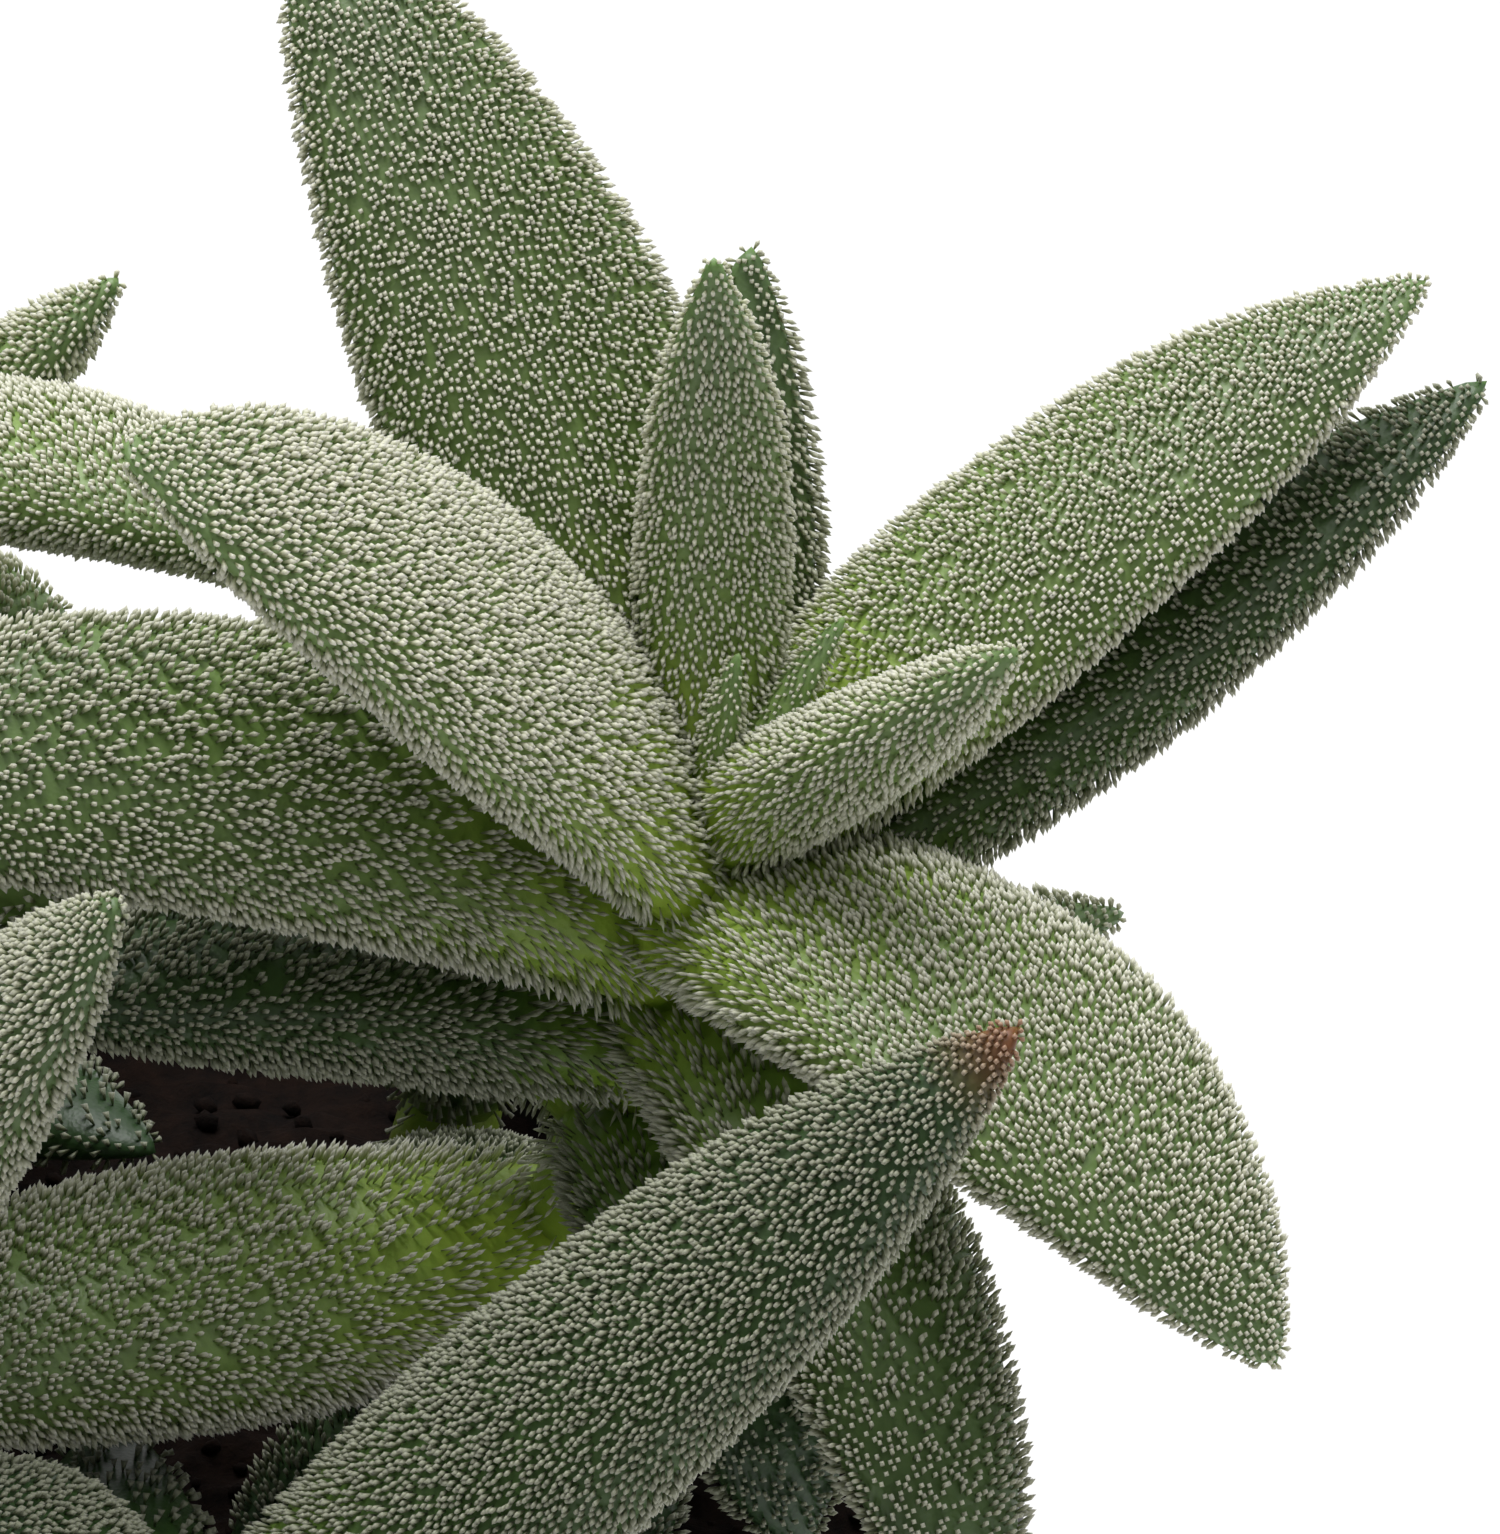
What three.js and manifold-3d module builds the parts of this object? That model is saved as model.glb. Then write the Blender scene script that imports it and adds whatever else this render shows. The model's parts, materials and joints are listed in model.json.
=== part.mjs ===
// A potted Crassula mesembryanthemoides: a small nursery pot of soil, out of
// which grow seven leafy stems with thick, pointed leaves in crossed pairs.
// Millimetres, +Z up. The origin is the middle of the pot's flat underside.

import * as THREE from 'three';
import { mergeVertices } from 'three/addons/utils/BufferGeometryUtils.js';
import Module from 'manifold-3d';

const wasm = await Module();
wasm.setup();

// Pot: a thin moulded nursery pot with a rim band and drain holes
const POT_HEIGHT = 58;
const POT_BASE_RADIUS = 23.5;
const POT_BODY_TOP_RADIUS = 30.9;
const POT_RIM_RADIUS = 32.5;
const POT_WALL = 1.4;
const POT_FLOOR = 1.8;
const RIM_BAND_HEIGHT = 8;
const RIM_THICKNESS = 2.2;
const RIM_EDGE = 0.5;
const FOOT_CHAMFER = 1;
const POT_SIDES = 40;
const DRAIN_HOLES = 6;
const DRAIN_RADIUS = 2.6;
const DRAIN_RING_RADIUS = 15.5;
const DRAIN_SIDES = 10;
const DRAIN_CUT = 6;

// Soil: it stops a little below the rim and rises slightly to the middle
const GAP = 0.32;
const SOIL_LEVEL = 54.4;
const SOIL_CROWN = 1.2;
const SOIL_RELIEF = 0.4;
const SOIL_SHOULDER = 1;
const SOIL_EDGE_STEP = 0.15;
const SOIL_RINGS = 6;
const SOIL_SIDES = 32;

// The relief of the soil's surface is two waves: how often each goes up and
// down along X and Y, where it starts, and how strong the second one is
const WAVE = { x: 0.61, y: 0.73, startX: 1.1, startY: 0.4 };
const SLANTED_WAVE = { x: 1.37, y: -0.9, share: 0.5 };

// Stems: a straight foot stands in a hole in the soil, and then the stem
// curves out and up, thinner towards its tip
const STEM_SIDES = 8;
const STEM_RINGS = 8;
const STEM_FOOT_RADIUS = 2.1;
const STEM_TOP_RADIUS = 1.2;
const ROOT_DEPTH = 9;
const STRAIGHT_ABOVE_SOIL = 1.5;
const CURVE_STEPS = 48;
const HEADING_STEP = 0.02;

// Leaves: where along its length a leaf has a ring of points, and its form
const LEAF_STATIONS = [0, 0.18, 0.42, 0.66, 0.85, 0.96];
const LEAF_SIDES = 8;
const LEAF_BASE_SHARE = 0.56;
const WIDEST_AT = 0.45;
const OUTLINE_POWER = 0.85;
const ROOT_THICKNESS_SHARE = 0.8;
const FULL_THICKNESS_AT = 0.3;
const THINNING_POWER = 2.6;
const POINT_POWER = 0.7;
const UPPER_SHARE = 0.44;
const ROOT_SINK = 0.5;
const CURVE_PIECES = 24;

// Leaf pairs from the tip of a stem downwards: how far each is from the tip,
// the size of its leaves, their pitch and how far they curl (degrees)
const PAIR_DISTANCES = [0.2, 1.6, 3.2, 5, 7, 9.6, 11.8, 15.8, 23.5, 26.5, 29.5];
const PAIR_SIZES = [0.22, 0.58, 0.86, 1, 1, 0.96, 0.9, 0.82, 0.75];
const PAIR_PITCHES = [76, 62, 50, 38, 27, 17, 7, -3, -12];
const PAIR_CURLS = [6, 4, -8, -12, -16, -20, -26, -32, -36];
const LEAST_WIDTH = 1;
const LEAF_SLENDERNESS = 0.33;
const LEAST_THICKNESS = 0.9;
const LEAF_FATNESS = 0.185;
const TURN_SPREAD = 9;
const PITCH_SPREAD = 6;
const SIZE_SPREAD = 0.08;
const LEAN_EFFECT = 0.7;

// A leaf is kept clear of the leaves and stems of other stems, of the soil
// and of the pot's rim, by balls that stand along it in rows of three
const GUARD_STATIONS = [0.1, 0.21, 0.32, 0.43, 0.54, 0.65, 0.76, 0.87, 0.96];
const STEM_GUARD_STEP = 4;
const CLEARANCE = 0.45;

// The ways in which a leaf gives way until it is clear, the least first:
// turned up, turned round (degrees) and its length as a share
const GIVING_WAY = [
  [0, 0, 1], [8, 0, 1], [-8, 0, 1], [0, 10, 1], [0, -10, 1], [16, 0, 0.96], [-16, 0, 0.96],
  [10, 14, 0.92], [10, -14, 0.92], [24, 0, 0.9], [-22, 0, 0.88], [0, 22, 0.84], [0, -22, 0.84],
  [30, 0, 0.76], [-10, 16, 0.74], [-10, -16, 0.74], [0, 0, 0.66], [18, 0, 0.6],
];

// The seeded random numbers: each is the one before times a factor, in a range
const SEED_FACTOR = 7919;
const DRAW_FACTOR = 16807;
const DRAW_RANGE = 2147483647;

const POT_BLACK = 0x2a2826;
const PEAT_BROWN = 0x3b2a22;
const LEAF_GREEN = 0x71895c;

const MERGE_DISTANCE = 1e-4;
const RAD = Math.PI / 180;

// The stems. foot and top are where a stem leaves the soil and where it ends,
// lean is its direction at the top, and rise and reach say how far it keeps
// to its first and last directions. A row in placed is one leaf: its pair
// counted from the tip, its compass direction, its pitch where it leaves the
// stem, how far it curls (degrees), its length, width and thickness, and how
// far it is rolled about its own length. The first stem has all its leaves
// placed. The others grow theirs by rule, in pairs that cross.
const STEMS = [
  {
    name: 'leafy_stem_1',
    foot: [15.5, 2.5],
    top: [22.1, -4.9, 90.1],
    lean: [0.12, -0.15, 0.96],
    rise: 12,
    reach: 18,
    placed: [
      [1, 205, 98, 6, 5.6, 2.0, 1.6, 0],
      [1, 30, 42, 7, 7.5, 2.0, 1.7, 0],
      [2, 331, 41, 4, 15.6, 4.6, 4.1, -15],
      [2, 85, 62, 34, 20, 5.0, 3.2, 10],
      [3, 201, 62, -30, 28, 10.8, 4.4, -27],
      [3, 30, 36, -20, 30.8, 8.2, 4.6, 14],
      [4, 323, 18, -74, 26.6, 11.2, 4.8, 0],
      [4, 124, 69, -40, 35.6, 10.4, 5.2, -16],
      [5, 195, 46, -54, 37, 9.6, 5.4, -38],
      [5, 25, 22, 6, 32.4, 7.6, 4.6, 8],
      [6, 302, 5, -85, 27, 7.8, 4.4, 0],
      [6, 76, 58, 6, 24.8, 7.2, 4.4, 0],
      [7, 196, 29, -29, 24.5, 6.8, 4.6, -13],
      [7, 22, 5, -8, 17.4, 5.6, 4.0, 0],
      [8, 300, -2, -80, 17.5, 8.0, 4.2, 0],
      [8, 120, 24, -10, 20, 7.2, 4.4, 0],
      [9, 200, 7, -8, 31, 9.6, 5.8, -20],
      [9, 20, -10, -30, 14, 6.4, 4.2, 0],
      [10, 112, 0, -40, 17, 6.6, 4.2, 0],
      [10, 290, -15, -30, 12, 6, 4, 0],
      [11, 30, 5, -40, 11, 5.2, 3.6, 0],
      [11, 208, -6, -30, 13, 5.6, 3.8, 0],
    ],
    pairs: 0,
  },
  {
    name: 'leafy_stem_2',
    foot: [1, -14],
    top: [5.5, -25.5, 69.5],
    lean: [0.1, -0.3, 0.94],
    rise: 4,
    reach: 6,
    placed: [
      [2, 100, 20, 0, 6, 3, 2.4, 0],
      [3, 5, 45, 0, 38.5, 8.6, 5.8, 34],
      [3, 185, 82, -62, 15, 9, 5.6, -20],
      [4, 105, 0, -10, 13, 6, 4, 0],
      [5, 15, 0, -20, 17, 7, 4.4, 0],
    ],
    pairs: 6,
    firstTurn: 10,
    leafLength: 21,
    seed: 11,
  },
  {
    name: 'leafy_stem_3',
    foot: [-9, -8],
    top: [-9.6, -17.2, 79.6],
    lean: [-0.05, -0.25, 0.96],
    rise: 6,
    reach: 8,
    placed: [
      [3, 344, 50, 8, 26, 8.2, 4.8, 35],
      [5, 345, -10, -20, 12, 6, 4, 0],
    ],
    pairs: 9,
    firstTurn: 168,
    leafLength: 22,
    seed: 23,
  },
  {
    name: 'leafy_stem_4',
    foot: [-6, 6],
    top: [-9.5, 7.5, 97],
    lean: [-0.1, 0.06, 0.99],
    rise: 12,
    reach: 14,
    placed: [
      [3, 340, 30, -60, 24, 7.4, 4.6, -5],
      [4, 10, 18, 28, 15.5, 4.8, 4.0, 0],
      [5, 10, -12, -6, 11, 6, 4.2, 0],
      [5, 80, -5, -16, 18, 7, 4.6, 0],
      [6, 344, -6, -20, 18, 7, 4.6, 0],
    ],
    pairs: 9,
    firstTurn: 250,
    leafLength: 23,
    seed: 37,
  },
  {
    name: 'leafy_stem_5',
    foot: [-17, -1],
    top: [-26, -3, 80],
    lean: [-0.3, -0.08, 0.94],
    rise: 6,
    reach: 10,
    placed: [],
    pairs: 9,
    firstTurn: 60,
    leafLength: 21,
    seed: 41,
  },
  {
    name: 'leafy_stem_6',
    foot: [-8, 17],
    top: [-13, 23, 70],
    lean: [-0.25, 0.3, 0.92],
    rise: 5,
    reach: 6,
    placed: [],
    pairs: 7,
    firstTurn: 60,
    leafLength: 19,
    seed: 53,
  },
  {
    name: 'leafy_stem_7',
    foot: [12, 17],
    top: [15, 21, 67],
    lean: [0.15, 0.25, 0.95],
    rise: 3,
    reach: 4,
    placed: [],
    pairs: 5,
    firstTurn: 80,
    leafLength: 16,
    seed: 67,
  },
];

// A direction in space from a compass angle and a pitch, in degrees.
function direction(azimuth, pitch) {
  const flat = Math.cos(pitch * RAD);
  return [flat * Math.cos(azimuth * RAD), flat * Math.sin(azimuth * RAD), Math.sin(pitch * RAD)];
}

function add(a, b, scale) {
  return [a[0] + b[0] * scale, a[1] + b[1] * scale, a[2] + b[2] * scale];
}

function scaled(a, scale) {
  return [a[0] * scale, a[1] * scale, a[2] * scale];
}

function cross(a, b) {
  return [a[1] * b[2] - a[2] * b[1], a[2] * b[0] - a[0] * b[2], a[0] * b[1] - a[1] * b[0]];
}

function unit(a) {
  const size = Math.hypot(a[0], a[1], a[2]);
  return [a[0] / size, a[1] / size, a[2] / size];
}

function distance(a, b) {
  return Math.hypot(a[0] - b[0], a[1] - b[1], a[2] - b[2]);
}

// Half the leaf's width at s, from 0 at its base to 1 at its tip, as a share
// of its greatest: it swells to the widest place and then runs to a point.
function widthShare(s) {
  if (s < WIDEST_AT) {
    return LEAF_BASE_SHARE + (1 - LEAF_BASE_SHARE) * Math.sin((s / WIDEST_AT) * Math.PI / 2);
  }
  const past = (s - WIDEST_AT) / (1 - WIDEST_AT);
  return Math.pow(Math.max(0, 1 - past * past), OUTLINE_POWER);
}

// The leaf's thickness at s, as a share of its greatest.
function thicknessShare(s) {
  const swell = Math.sin((Math.min(1, s / FULL_THICKNESS_AT) * Math.PI) / 2);
  const root = ROOT_THICKNESS_SHARE + (1 - ROOT_THICKNESS_SHARE) * swell;
  return root * Math.pow(Math.max(0, 1 - Math.pow(s, THINNING_POWER)), POINT_POWER);
}

// The place and axes of the leaf's section at s.
function leafSection(leaf, s) {
  let point = add(leaf.base, direction(leaf.azimuth, leaf.pitch), -ROOT_SINK);
  const step = s / CURVE_PIECES;
  for (let i = 0; i < CURVE_PIECES; i += 1) {
    const heading = direction(leaf.azimuth, leaf.pitch + leaf.curl * (i + 0.5) * step);
    point = add(point, heading, leaf.length * step);
  }
  const along = direction(leaf.azimuth, leaf.pitch + leaf.curl * s);
  const level = direction(leaf.azimuth + 90, 0);
  const over = cross(along, level);
  const c = Math.cos(leaf.roll * RAD);
  const d = Math.sin(leaf.roll * RAD);
  const side = add(scaled(level, c), over, d);
  const up = add(scaled(over, c), level, -d);
  return { point, along, side, up };
}

function leafHalfWidth(leaf, s) {
  return leaf.width * 0.5 * widthShare(s);
}

function leafThickness(leaf, s) {
  return leaf.thickness * thicknessShare(s);
}

// The closed mesh of one leaf: rings of points from its root to its tip.
function leafGeometry(leaf) {
  const rings = LEAF_STATIONS.map((s) => {
    const { point, side, up } = leafSection(leaf, s);
    const half = leafHalfWidth(leaf, s);
    const above = leafThickness(leaf, s) * UPPER_SHARE;
    const below = leafThickness(leaf, s) * (1 - UPPER_SHARE);
    return ringPoints(point, side, up, half, above, below, LEAF_SIDES);
  });
  return closedTube(rings, leafSection(leaf, 1).point);
}

// A ring of points round a place: half-width along side, and two half-heights.
function ringPoints(point, side, up, half, above, below, count) {
  const ring = [];
  for (let k = 0; k < count; k += 1) {
    const angle = (2 * Math.PI * k) / count;
    const height = Math.sin(angle) > 0 ? above : below;
    ring.push(add(add(point, side, half * Math.cos(angle)), up, height * Math.sin(angle)));
  }
  return ring;
}

function levelRing(x, y, z, radius, count) {
  return ringPoints([x, y, z], [1, 0, 0], [0, 1, 0], radius, radius, radius, count);
}

// Joins rings of points into a closed skin. The far end is a point if one is
// given, or else flat like the near end.
function closedTube(rings, tip) {
  const count = rings[0].length;
  const points = rings.flat();
  const faces = [];
  for (let i = 0; i + 1 < rings.length; i += 1) {
    for (let k = 0; k < count; k += 1) {
      const a = i * count + k;
      const b = i * count + ((k + 1) % count);
      faces.push(a, b, b + count, a, b + count, a + count);
    }
  }
  for (let k = 1; k + 1 < count; k += 1) {
    faces.push(0, k + 1, k);
  }
  const last = (rings.length - 1) * count;
  if (tip) {
    points.push(tip);
    for (let k = 0; k < count; k += 1) {
      faces.push(last + k, last + ((k + 1) % count), points.length - 1);
    }
  } else {
    for (let k = 1; k + 1 < count; k += 1) {
      faces.push(last, last + k, last + k + 1);
    }
  }
  const geometry = new THREE.BufferGeometry();
  geometry.setAttribute('position', new THREE.Float32BufferAttribute(points.flat(), 3));
  geometry.setIndex(faces);
  return geometry;
}

// The stem's line from the soil to its tip, as points an even step apart in
// the curve's own measure, with the distance run so far at each.
function stemLine(stem) {
  const start = [stem.foot[0], stem.foot[1], SOIL_LEVEL + STRAIGHT_ABOVE_SOIL];
  const first = add(start, [0, 0, 1], stem.rise);
  const second = add(stem.top, unit(stem.lean), -stem.reach);
  const line = [];
  let run = 0;
  for (let i = 0; i <= CURVE_STEPS; i += 1) {
    const t = i / CURVE_STEPS;
    const u = 1 - t;
    const weights = [u * u * u, 3 * u * u * t, 3 * u * t * t, t * t * t];
    let point = [0, 0, 0];
    [start, first, second, stem.top].forEach((corner, k) => {
      point = add(point, corner, weights[k]);
    });
    if (i > 0) {
      run += distance(point, line[i - 1].point);
    }
    line.push({ point, run });
  }
  return line;
}

// The point on the stem at a distance from its tip.
function pointFromTip(line, back) {
  const target = line[line.length - 1].run - back;
  let i = 1;
  while (i < line.length - 1 && line[i].run < target) {
    i += 1;
  }
  const from = line[i - 1];
  const to = line[i];
  const share = (target - from.run) / (to.run - from.run);
  return add(from.point, add(to.point, from.point, -1), share);
}

function stemRadius(share) {
  return STEM_FOOT_RADIUS + (STEM_TOP_RADIUS - STEM_FOOT_RADIUS) * share;
}

function stemGeometry(line) {
  const total = line[line.length - 1].run;
  const base = line[0].point;
  const rings = [SOIL_LEVEL - ROOT_DEPTH, SOIL_LEVEL].map((z) => (
    levelRing(base[0], base[1], z, STEM_FOOT_RADIUS, STEM_SIDES)
  ));
  for (let i = 0; i <= STEM_RINGS; i += 1) {
    const share = i / STEM_RINGS;
    const here = pointFromTip(line, total * (1 - share));
    const ahead = pointFromTip(line, total * (1 - Math.min(1, share + HEADING_STEP)));
    const behind = pointFromTip(line, total * (1 - Math.max(0, share - HEADING_STEP)));
    const along = unit(add(ahead, behind, -1));
    const up = unit(cross(along, [1, 0, 0]));
    const side = cross(up, along);
    const radius = stemRadius(share);
    rings.push(ringPoints(here, side, up, radius, radius, radius, STEM_SIDES));
  }
  return closedTube(rings, null);
}

// Boolean helpers: a three.js geometry to a solid, and back
function toSolid(geometry) {
  const bare = geometry.clone();
  bare.deleteAttribute('normal');
  bare.deleteAttribute('uv');
  const merged = mergeVertices(bare, MERGE_DISTANCE);
  return new wasm.Manifold(new wasm.Mesh({
    numProp: 3,
    vertProperties: Float32Array.from(merged.attributes.position.array),
    triVerts: Uint32Array.from(merged.index.array),
  }));
}

function toGeometry(solid) {
  const mesh = solid.getMesh();
  const geometry = new THREE.BufferGeometry();
  geometry.setAttribute('position', new THREE.Float32BufferAttribute(mesh.vertProperties, 3));
  geometry.setIndex(new THREE.Uint32BufferAttribute(mesh.triVerts, 1));
  return outerShell(geometry);
}

// Keeps the largest connected skin of a mesh, which fills any pocket that
// the joined leaves shut in.
function outerShell(geometry) {
  const index = geometry.index.array;
  const parent = Array.from({ length: geometry.attributes.position.count }, (_, i) => i);
  const find = (i) => {
    let root = i;
    while (parent[root] !== root) {
      root = parent[root];
    }
    parent[i] = root;
    return root;
  };
  for (let i = 0; i < index.length; i += 3) {
    parent[find(index[i + 1])] = find(index[i]);
    parent[find(index[i + 2])] = find(index[i]);
  }
  const sizes = new Map();
  for (let i = 0; i < index.length; i += 3) {
    const root = find(index[i]);
    sizes.set(root, (sizes.get(root) ?? 0) + 1);
  }
  const [largest] = [...sizes.entries()].sort((a, b) => b[1] - a[1])[0];
  const kept = [];
  for (let i = 0; i < index.length; i += 3) {
    if (find(index[i]) === largest) {
      kept.push(index[i], index[i + 1], index[i + 2]);
    }
  }
  geometry.setIndex(kept);
  return geometry;
}

// Random numbers from 0 to 1, the same each time for the same seed.
function seededDraw(seed) {
  let state = seed * SEED_FACTOR;
  return () => {
    state = (state * DRAW_FACTOR) % DRAW_RANGE;
    return state / DRAW_RANGE;
  };
}

function leafFromRow(line, [pair, azimuth, pitch, curl, length, width, thickness, roll]) {
  const base = pointFromTip(line, PAIR_DISTANCES[pair - 1]);
  return { pair, base, azimuth, pitch, curl, length, width, thickness, roll };
}

// The angle between two compass directions, from 0 to 180 degrees.
function turnBetween(a, b) {
  const turn = Math.abs(a - b) % 360;
  return Math.min(turn, 360 - turn);
}

// The leaves that a stem grows by rule, without those that are placed.
function grownLeaves(stem, line) {
  const draw = seededDraw(stem.seed);
  const leaves = [];
  for (let pair = 1; pair <= stem.pairs; pair += 1) {
    for (let half = 0; half < 2; half += 1) {
      const turn = stem.firstTurn + 90 * (pair - 1) + 180 * half;
      const azimuth = turn + TURN_SPREAD * (2 * draw() - 1);
      const tilt = Math.cos(azimuth * RAD) * stem.lean[0] + Math.sin(azimuth * RAD) * stem.lean[1];
      const lowered = (LEAN_EFFECT * Math.atan(tilt / stem.lean[2])) / RAD;
      const pitch = PAIR_PITCHES[pair - 1] + PITCH_SPREAD * (2 * draw() - 1) - lowered;
      const length = stem.leafLength * PAIR_SIZES[pair - 1] * (1 + SIZE_SPREAD * (2 * draw() - 1));
      const width = LEAST_WIDTH + length * LEAF_SLENDERNESS;
      const thickness = LEAST_THICKNESS + length * LEAF_FATNESS;
      const row = [pair, azimuth, pitch, PAIR_CURLS[pair - 1], length, width, thickness, 0];
      if (!stem.placed.some((other) => other[0] === pair && turnBetween(other[1], turn) < 90)) {
        leaves.push(leafFromRow(line, row));
      }
    }
  }
  return leaves;
}

// The balls that stand for a leaf: at each station one in the middle and one
// near each edge, as thick as the leaf is there.
function leafBalls(leaf) {
  const balls = [];
  GUARD_STATIONS.forEach((s) => {
    const { point, side } = leafSection(leaf, s);
    const radius = leafThickness(leaf, s) * (1 - UPPER_SHARE);
    const out = Math.max(0, leafHalfWidth(leaf, s) - radius);
    [-out, 0, out].forEach((offset) => balls.push({ centre: add(point, side, offset), radius }));
  });
  return balls;
}

function stemBalls(line) {
  return line.filter((_, i) => i % STEM_GUARD_STEP === 0)
    .map(({ point }) => ({ centre: point, radius: STEM_FOOT_RADIUS }));
}

// Whether a ball meets the pot's rim or wall, or the soil.
function meetsPot({ centre, radius }) {
  const out = Math.hypot(centre[0], centre[1]);
  const bottom = centre[2] - radius - CLEARANCE;
  const outsideRim = out - radius > POT_RIM_RADIUS + CLEARANCE;
  const insideRim = out + radius < POT_RIM_RADIUS - RIM_THICKNESS;
  if (!outsideRim && !insideRim && bottom < POT_HEIGHT) {
    return true;
  }
  return out < POT_RIM_RADIUS && bottom < SOIL_LEVEL + SOIL_CROWN + SOIL_RELIEF;
}

function ballsMeet(some, others) {
  return some.some((a) => others.some((b) => (
    distance(a.centre, b.centre) < a.radius + b.radius + CLEARANCE
  )));
}

// Gives every stem its leaves. Those that are placed come first, and then each
// grown leaf gives way until it is clear, or is left out where it has no room.
function leavesOfStems() {
  const grown = STEMS.map((stem) => {
    const line = stemLine(stem);
    const leaves = stem.placed.map((row) => leafFromRow(line, row));
    return { stem, line, leaves, guards: [stemBalls(line)] };
  });
  grown.forEach((entry) => entry.leaves.forEach((leaf) => entry.guards.push(leafBalls(leaf))));
  grown.forEach((entry) => {
    const otherGuards = grown.filter((other) => other !== entry).map((other) => other.guards);
    const clear = (balls) => (
      !balls.some(meetsPot) && !otherGuards.flat().some((guard) => ballsMeet(balls, guard))
    );
    grownLeaves(entry.stem, entry.line).forEach((leaf) => {
      for (const [turnUp, turnRound, share] of GIVING_WAY) {
        const tried = {
          ...leaf,
          pitch: leaf.pitch + turnUp,
          azimuth: leaf.azimuth + turnRound,
          length: leaf.length * share,
          width: leaf.width * Math.sqrt(share),
        };
        const balls = leafBalls(tried);
        if (clear(balls)) {
          entry.leaves.push(tried);
          entry.guards.push(balls);
          break;
        }
      }
    });
  });
  return grown;
}

function leafyStem({ line, leaves }) {
  let solid = toSolid(stemGeometry(line));
  leaves.forEach((leaf) => {
    solid = solid.add(toSolid(leafGeometry(leaf)));
  });
  return toGeometry(solid);
}

// The pot's closed outline, turned round its axis: flat underside, tapered
// wall, rim band, and the inside back down to the floor.
function pot() {
  const bandBottom = POT_HEIGHT - RIM_BAND_HEIGHT;
  const outline = [
    [0, 0],
    [POT_BASE_RADIUS - FOOT_CHAMFER, 0],
    [POT_BASE_RADIUS, FOOT_CHAMFER],
    [POT_BODY_TOP_RADIUS, bandBottom],
    [POT_RIM_RADIUS - RIM_EDGE, bandBottom + RIM_EDGE],
    [POT_RIM_RADIUS, POT_HEIGHT - RIM_EDGE],
    [POT_RIM_RADIUS - RIM_EDGE, POT_HEIGHT],
    [POT_RIM_RADIUS - RIM_THICKNESS, POT_HEIGHT],
    [POT_BASE_RADIUS - POT_WALL, POT_FLOOR],
    [0, POT_FLOOR],
  ].map(([radius, z]) => new THREE.Vector2(radius, z));
  const turned = new THREE.LatheGeometry(outline, POT_SIDES);
  turned.rotateX(Math.PI / 2);
  let solid = toSolid(turned);
  for (let i = 0; i < DRAIN_HOLES; i += 1) {
    const angle = (2 * Math.PI * i) / DRAIN_HOLES;
    const drain = new THREE.CylinderGeometry(DRAIN_RADIUS, DRAIN_RADIUS, DRAIN_CUT, DRAIN_SIDES);
    drain.rotateX(Math.PI / 2);
    drain.translate(DRAIN_RING_RADIUS * Math.cos(angle), DRAIN_RING_RADIUS * Math.sin(angle), 0);
    solid = solid.subtract(toSolid(drain));
  }
  return toGeometry(solid);
}

// The inside radius of the pot at a height.
function potInside(z) {
  const share = (z - POT_FLOOR) / (POT_HEIGHT - POT_FLOOR);
  const foot = POT_BASE_RADIUS - POT_WALL;
  return foot + (POT_RIM_RADIUS - RIM_THICKNESS - foot) * share;
}

// The height of the soil's surface at a place.
function soilHeight(x, y, edge) {
  const crown = SOIL_CROWN * (1 - (x * x + y * y) / (edge * edge));
  const humps = Math.sin(WAVE.x * x + WAVE.startX) * Math.sin(WAVE.y * y + WAVE.startY);
  const ridges = SLANTED_WAVE.share * Math.sin(SLANTED_WAVE.x * x + SLANTED_WAVE.y * y);
  return SOIL_LEVEL + crown + (SOIL_RELIEF * (humps + ridges)) / (1 + SLANTED_WAVE.share);
}

function soil() {
  const floor = POT_FLOOR + GAP;
  const edge = potInside(SOIL_LEVEL) * Math.cos(Math.PI / POT_SIDES) - GAP;
  const foot = potInside(floor) * Math.cos(Math.PI / POT_SIDES) - GAP;
  const rings = [
    levelRing(0, 0, floor, foot, SOIL_SIDES),
    levelRing(0, 0, SOIL_LEVEL - SOIL_SHOULDER, edge - SOIL_EDGE_STEP, SOIL_SIDES),
  ];
  for (let i = 0; i < SOIL_RINGS; i += 1) {
    const radius = (edge - 2 * SOIL_EDGE_STEP) * (1 - i / SOIL_RINGS);
    const ring = levelRing(0, 0, 0, radius, SOIL_SIDES);
    rings.push(ring.map(([x, y]) => [x, y, soilHeight(x, y, edge)]));
  }
  let solid = toSolid(closedTube(rings, [0, 0, soilHeight(0, 0, edge)]));
  const hole = STEM_FOOT_RADIUS + GAP / Math.cos(Math.PI / STEM_SIDES);
  STEMS.forEach(({ foot: [x, y] }) => {
    const ends = [SOIL_LEVEL - ROOT_DEPTH - GAP, POT_HEIGHT].map((z) => (
      levelRing(x, y, z, hole, STEM_SIDES)
    ));
    solid = solid.subtract(toSolid(closedTube(ends, null)));
  });
  return toGeometry(solid);
}

const plant = new THREE.Group();

function place(name, geometry, color, roughness) {
  const mesh = new THREE.Mesh(geometry, new THREE.MeshStandardMaterial({ color, roughness, metalness: 0 }));
  mesh.name = name;
  plant.add(mesh);
}

place('pot', pot(), POT_BLACK, 0.55);
place('soil', soil(), PEAT_BROWN, 0.95);
leavesOfStems().forEach((entry) => place(entry.stem.name, leafyStem(entry), LEAF_GREEN, 0.7));

export default plant;
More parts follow.
